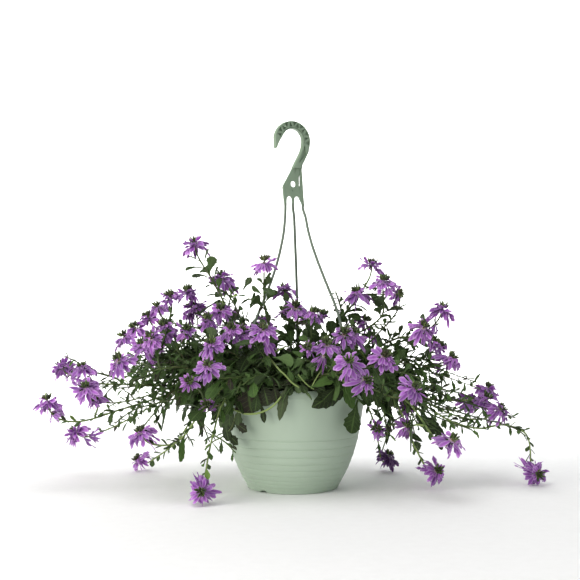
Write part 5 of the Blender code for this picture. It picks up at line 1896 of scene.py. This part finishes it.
bloomValues = {
    "seed": 31,
    "wide": {"spray_left_low": 6, "spray_right_low": 4, "spray_right_high": 4, "spray_left_front": 3,
             "spray_left_high": 6, "spray_crown": 2, "spray_front_right": 1, "spray_right_front": 3},
    "grown": 1.03,
    "upper": 2,
    "lower": {"spray_left_low": 3, "spray_right_low": 2, "spray_crown": 0},
    "lowerDrop": (8.0, 22.0),
}


def readFans(node, stem):
    # The fans of a construction head: turn, length, slope, bend and roll of each
    spots, links = nodeMesh(node)
    head = stem["head"]
    facing = stem["facing"]
    first = facing.orthogonal().normalized()
    second = facing.cross(first)
    keep = [i for i, p in enumerate(spots) if (p - head).length > 5.6]
    fans = []
    for group in clusters(keep, links):
        if len(group) != 18:
            continue
        away = [spots[i] - head for i in group]
        across = np.array([(p.dot(first), p.dot(second)) for p in away])
        drop = np.array([-p.dot(facing) for p in away])
        radius = np.hypot(across[:, 0], across[:, 1])
        mean = (across / radius[:, None]).mean(axis=0)
        turn = math.atan2(mean[1], mean[0])
        angle = np.arctan2(across[:, 1], across[:, 0]) - turn
        length = float(radius.max())
        system = np.stack([radius, radius**2 / length, radius * np.sin(angle)], axis=1)
        slope, bend, roll = np.linalg.lstsq(system, drop, rcond=None)[0]
        fans.append((math.degrees(turn), length, float(slope), float(bend), float(roll)))
    return fans


# The top of a head. The ring and the lean are those of the middle bud, with what the outermost adds.
topValues = {
    "buds": 12,
    "budTurn": 2.4,
    "budRaise": 2.5,
    "budRing": (0.5, 3.2),
    "budLean": (0.1, 0.75),
    "budLength": (8, 13),
    "budThick": (1.4, 2.2),
    "styles": 5,
    "styleRing": (3, 7),
    "styleReach": (8, 14),
    "styleRadii": (0.55, 0.5, 0.45),
    "styleHook": 2,
    "bracts": 5,
    "bractTurn": 1.2566,
    "bractDrop": (2, 5),
    "bractRise": (0.1, 0.5),
    "bractLength": (10, 14),
}


def headTop(pieces, head, facing, first, second):
    # The knob of green buds, the hooked styles that stand out of it, and the bracts below
    ring, wider = topValues["budRing"]
    lean, more = topValues["budLean"]
    for i in range(topValues["buds"]):
        share = math.sqrt(i / topValues["buds"])
        out = around(first, second, topValues["budTurn"] * i)
        base = head + facing * topValues["budRaise"] + out * (ring + wider * share)
        length = rng.uniform(*topValues["budLength"])
        thick = rng.uniform(*topValues["budThick"])
        pieces.append(budCopy(base, facing + out * (lean + more * share), length, thick,
                              rng.uniform(0.0, 0.5)))
    rows = []
    hook = topValues["styleHook"]
    for i in range(topValues["styles"]):
        out = around(first, second, rng.uniform(0, 6.28))
        reach = rng.uniform(*topValues["styleReach"])
        start = head + out * rng.uniform(*topValues["styleRing"]) + facing * 1.0
        crook = out.cross(facing) * rng.uniform(-hook, hook)
        middle = start + facing * reach * 0.5 + out * 1.5
        end = start + facing * reach + out * 2.0 + crook
        rows.append(([start, middle, end], topValues["styleRadii"], rng.uniform(0.8, 1.0)))
    pieces.append(stemTubes(rows))
    for i in range(topValues["bracts"]):
        out = around(first, second, topValues["bractTurn"] * i + rng.uniform(-0.3, 0.3))
        way = (out + facing * rng.uniform(*topValues["bractRise"])).normalized()
        base = head - facing * rng.uniform(*topValues["bractDrop"])
        length = rng.uniform(*topValues["bractLength"])
        pieces.append(leafCopy("small", base, way, way.cross(facing), length, rng.uniform(0, 0.3),
                               rng.uniform(0.1, 0.5), fold=0.4))


# The ranges of a drawn fan's length, slope, bend, roll and tint
fanKinds = {
    "wide": ((19.5, 27), (-0.3, 0.75), (-0.1, 0.5), (-0.5, 0.5), (0.0, 0.9)),
    "upper": ((12, 18), (-0.5, 0.25), (0.1, 0.5), (-0.2, 0.2), (0.3, 1.0)),
    "lower": ((15, 22), (0.1, 1.0), (0.1, 0.5), (-0.3, 0.3), (0.0, 0.7)),
}


def drawnFan(kind, place, turn, reach=1.0, shade=0.0):
    # shade is taken off the tint, so it darkens the fan: painted shade
    length, slope, bend, roll, tint = [rng.uniform(*span) for span in fanKinds[kind]]
    return fanCopy(place, turn, length * reach, slope, bend, roll, tint - shade)


def flowerHead(stem, fans, wide, reach, shade=0.0):
    # The construction's fans, more between them, smaller ones above and a few lower on the stem
    # shade darkens all but the lower fans: painted shade
    head, facing = stem["head"], stem["facing"]
    first = facing.orthogonal().normalized()
    second = facing.cross(first)
    pieces = []
    for turn, length, slope, bend, roll in fans:
        length *= bloomValues["grown"]
        pieces.append(fanCopy((head, facing, first, second), turn, length, slope, bend, roll,
                              rng.uniform(0.2, 0.9) - shade, curl=0.3))
    start = fans[0][0] + 60 if fans else rng.uniform(0, 360)
    for i in range(wide):
        lowered = head - facing * rng.uniform(-1.0, 3.0)
        turn = start + 360 * i / wide + rng.uniform(-12, 12)
        pieces.append(drawnFan("wide", (lowered, facing, first, second), turn, reach, shade))
    for i in range(bloomValues["upper"]):
        raised = head + facing * rng.uniform(2.0, 4.0)
        place = (raised, facing, first, second)
        pieces.append(drawnFan("upper", place, rng.uniform(0, 360), 1.0, shade))
    route = stem["route"]
    for i in range(bloomValues["lower"].get(stem["spray"], rng.choice((0, 0, 1)))):
        place = route.at(route.length - rng.uniform(*bloomValues["lowerDrop"]))
        pieces.append(drawnFan("lower", place, rng.uniform(0, 360)))
    headTop(pieces, head, facing, first, second)
    return joined(pieces)


def sideBranch(head, facing):
    # A short stem to a side head, from the nearest place on a long stem, clear of the strands and the pot
    neck = head - facing * stemValues["neck"]
    best = None
    for stem in stems:
        route = stem["route"]
        for place in range(20, int(route.length) - 12, 6):
            spot, along, side, face = route.at(place)
            reach = (neck - spot).length
            lift = spot.z - neck.z
            if reach > 24 and (lift < -5 or head.z < 200):
                cost = reach + 0.5 * max(lift, 0)
                if best is None or cost < best[0]:
                    best = (cost, spot, along)
    cost, spot, along = best
    for attempt in range(60):
        spread = 1.0 + attempt * 0.5
        stray = Vector((rng.gauss(0, spread), rng.gauss(0, spread), rng.gauss(4, spread)))
        middle = spot.lerp(neck, 0.5) + stray
        route = Route([spot, middle, neck], along + up * 0.5, facing)
        line = samples(route, 0)
        if clearance(line, strandLine) > 5 and keepsClear(line):
            return route
    print("a side stem is close to a strand or the pot", tuple(head))
    return route


rng = random.Random(bloomValues["seed"])
found = 0
for number, stem in enumerate(stems):
    node = f"flower_head_{number + 1:02d}"
    fans = readFans(node, stem)
    wide = bloomValues["wide"].get(stem["spray"], 3)
    # The head low at the back right is painted darker all over: painted shade, as it sits low behind the pot
    last = number == len(stems) - 1
    bloom = flowerHead(stem, fans, 8 if last else wide, 1.0, 1.1 if last else 0.0)
    settle(bloom, f"bloom_{number + 1:02d}", None, "petal", node)
    found += len(fans)
print("flower heads opened, fans taken from the construction", found)

rows = []
pieces = []
for number, (spot, facing, reach, flowers) in enumerate(sideBlooms):
    head, facing = Vector(spot), Vector(facing).normalized()
    branch = {"spray": "spray_crown", "head": head, "facing": facing, "parent": 0,
              "route": sideBranch(head, facing)}
    rows.append(stemRow(branch))
    clotheStem(pieces, branch)
    bloom = flowerHead(branch, (), flowers, reach / 25)
    settle(bloom, f"sideBloom_{number + 1:02d}", None, "petal")
settleFoliage("sideStems", rows, pieces)
print("side heads opened", len(sideBlooms))

for template in templates.values():
    bpy.data.objects.remove(template, do_unlink=True)


# Studio: a pale floor that sweeps up behind, soft light from the left, and the photograph's camera
studio = {
    "ground": potFoot.z,
    "sweepDepth": 3.4,
    "wall": 3.2,
    "curve": 1.4,
    "lens": 1100 / 580 * 36,
    "camera": (-0.003135, -1.95675, -0.2864),
}


def sweep():
    # Matt white paper off a roll, with faint fibres
    finish, shader = newMaterial("seamlessPaper", {"Roughness": 0.9})
    spot = addNode(finish, "TexCoord", output="Object")
    fibres = addNode(finish, "TexNoise", {"Vector": spot, "Scale": 60.0, "Detail": 4.0})
    tone = addNode(finish, "ValToRGB", {0: fibres}, stops=[(0.3, "#FAFAF9"), (0.7, "#FDFDFC")])
    connect(tone, shader, "Base Color")
    bpy.ops.mesh.primitive_plane_add(size=9, location=(0, -9 / 2 + studio["sweepDepth"], studio["ground"]))
    floor = bpy.context.object
    floor.name = "paperSweep"
    back = max(vert.co.y for vert in floor.data.vertices)
    selectWhere(floor, lambda place: abs(place.y - back) < 0.01)
    mode("EDIT")
    bpy.ops.mesh.extrude_edges_move(TRANSFORM_OT_translate={"value": (0, 0, studio["wall"])})
    mode("OBJECT")
    selectWhere(floor, lambda place: abs(place.y - back) < 0.01 and place.z < 0.01)
    mode("EDIT")
    bpy.ops.mesh.bevel(offset=studio["curve"], segments=16, affect="EDGES")
    mode("OBJECT")
    bpy.ops.object.transform_apply(location=True, rotation=True, scale=True)
    bpy.ops.object.shade_smooth()
    floor.data.materials.append(finish)
    return floor


def softLight(name, place, aim, size, watts, colour):
    bpy.ops.object.light_add(type="AREA", location=place)
    lamp = bpy.context.object
    lamp.name = name
    lamp.data.shape = "DISK"
    lamp.data.size = size
    lamp.data.energy = watts
    lamp.data.color = linear(colour)[:3]
    lamp.rotation_euler = (Vector(aim) - Vector(place)).to_track_quat("-Z", "Y").to_euler()
    return lamp


sweep()
middle = (0, 0, -0.35)
softLight("keyLight", (-2.2, -1.65, -0.05), middle, 2.4, 58, "#FFFAF4")
softLight("fillLight", (1.9, -1.9, 0.2), middle, 1.8, 2, "#F4F8FF")
softLight("topLight", (-0.5, -0.8, 1.7), (0, -0.4, -0.6), 2.4, 34, "#FFFFFF")
softLight("paperLight", (0.0, 1.7, 1.2), (0, 3.2, -0.2), 2.4, 95, "#FFFFFF")

world = bpy.data.worlds.new("studioWorld")
bpy.context.scene.world = world
world.use_nodes = True
background = world.node_tree.nodes["Background"]
background.inputs[0].default_value = linear("#F6F8FA")
background.inputs[1].default_value = 0.37

bpy.ops.object.camera_add(location=studio["camera"], rotation=(math.radians(90), 0, 0))
camera = bpy.context.object
camera.name = "photographCamera"
camera.data.sensor_width = 36
camera.data.lens = studio["lens"]
camera.data.clip_end = 50
bpy.context.scene.camera = camera
bpy.context.scene.view_settings.view_transform = "Standard"
print("studio set")
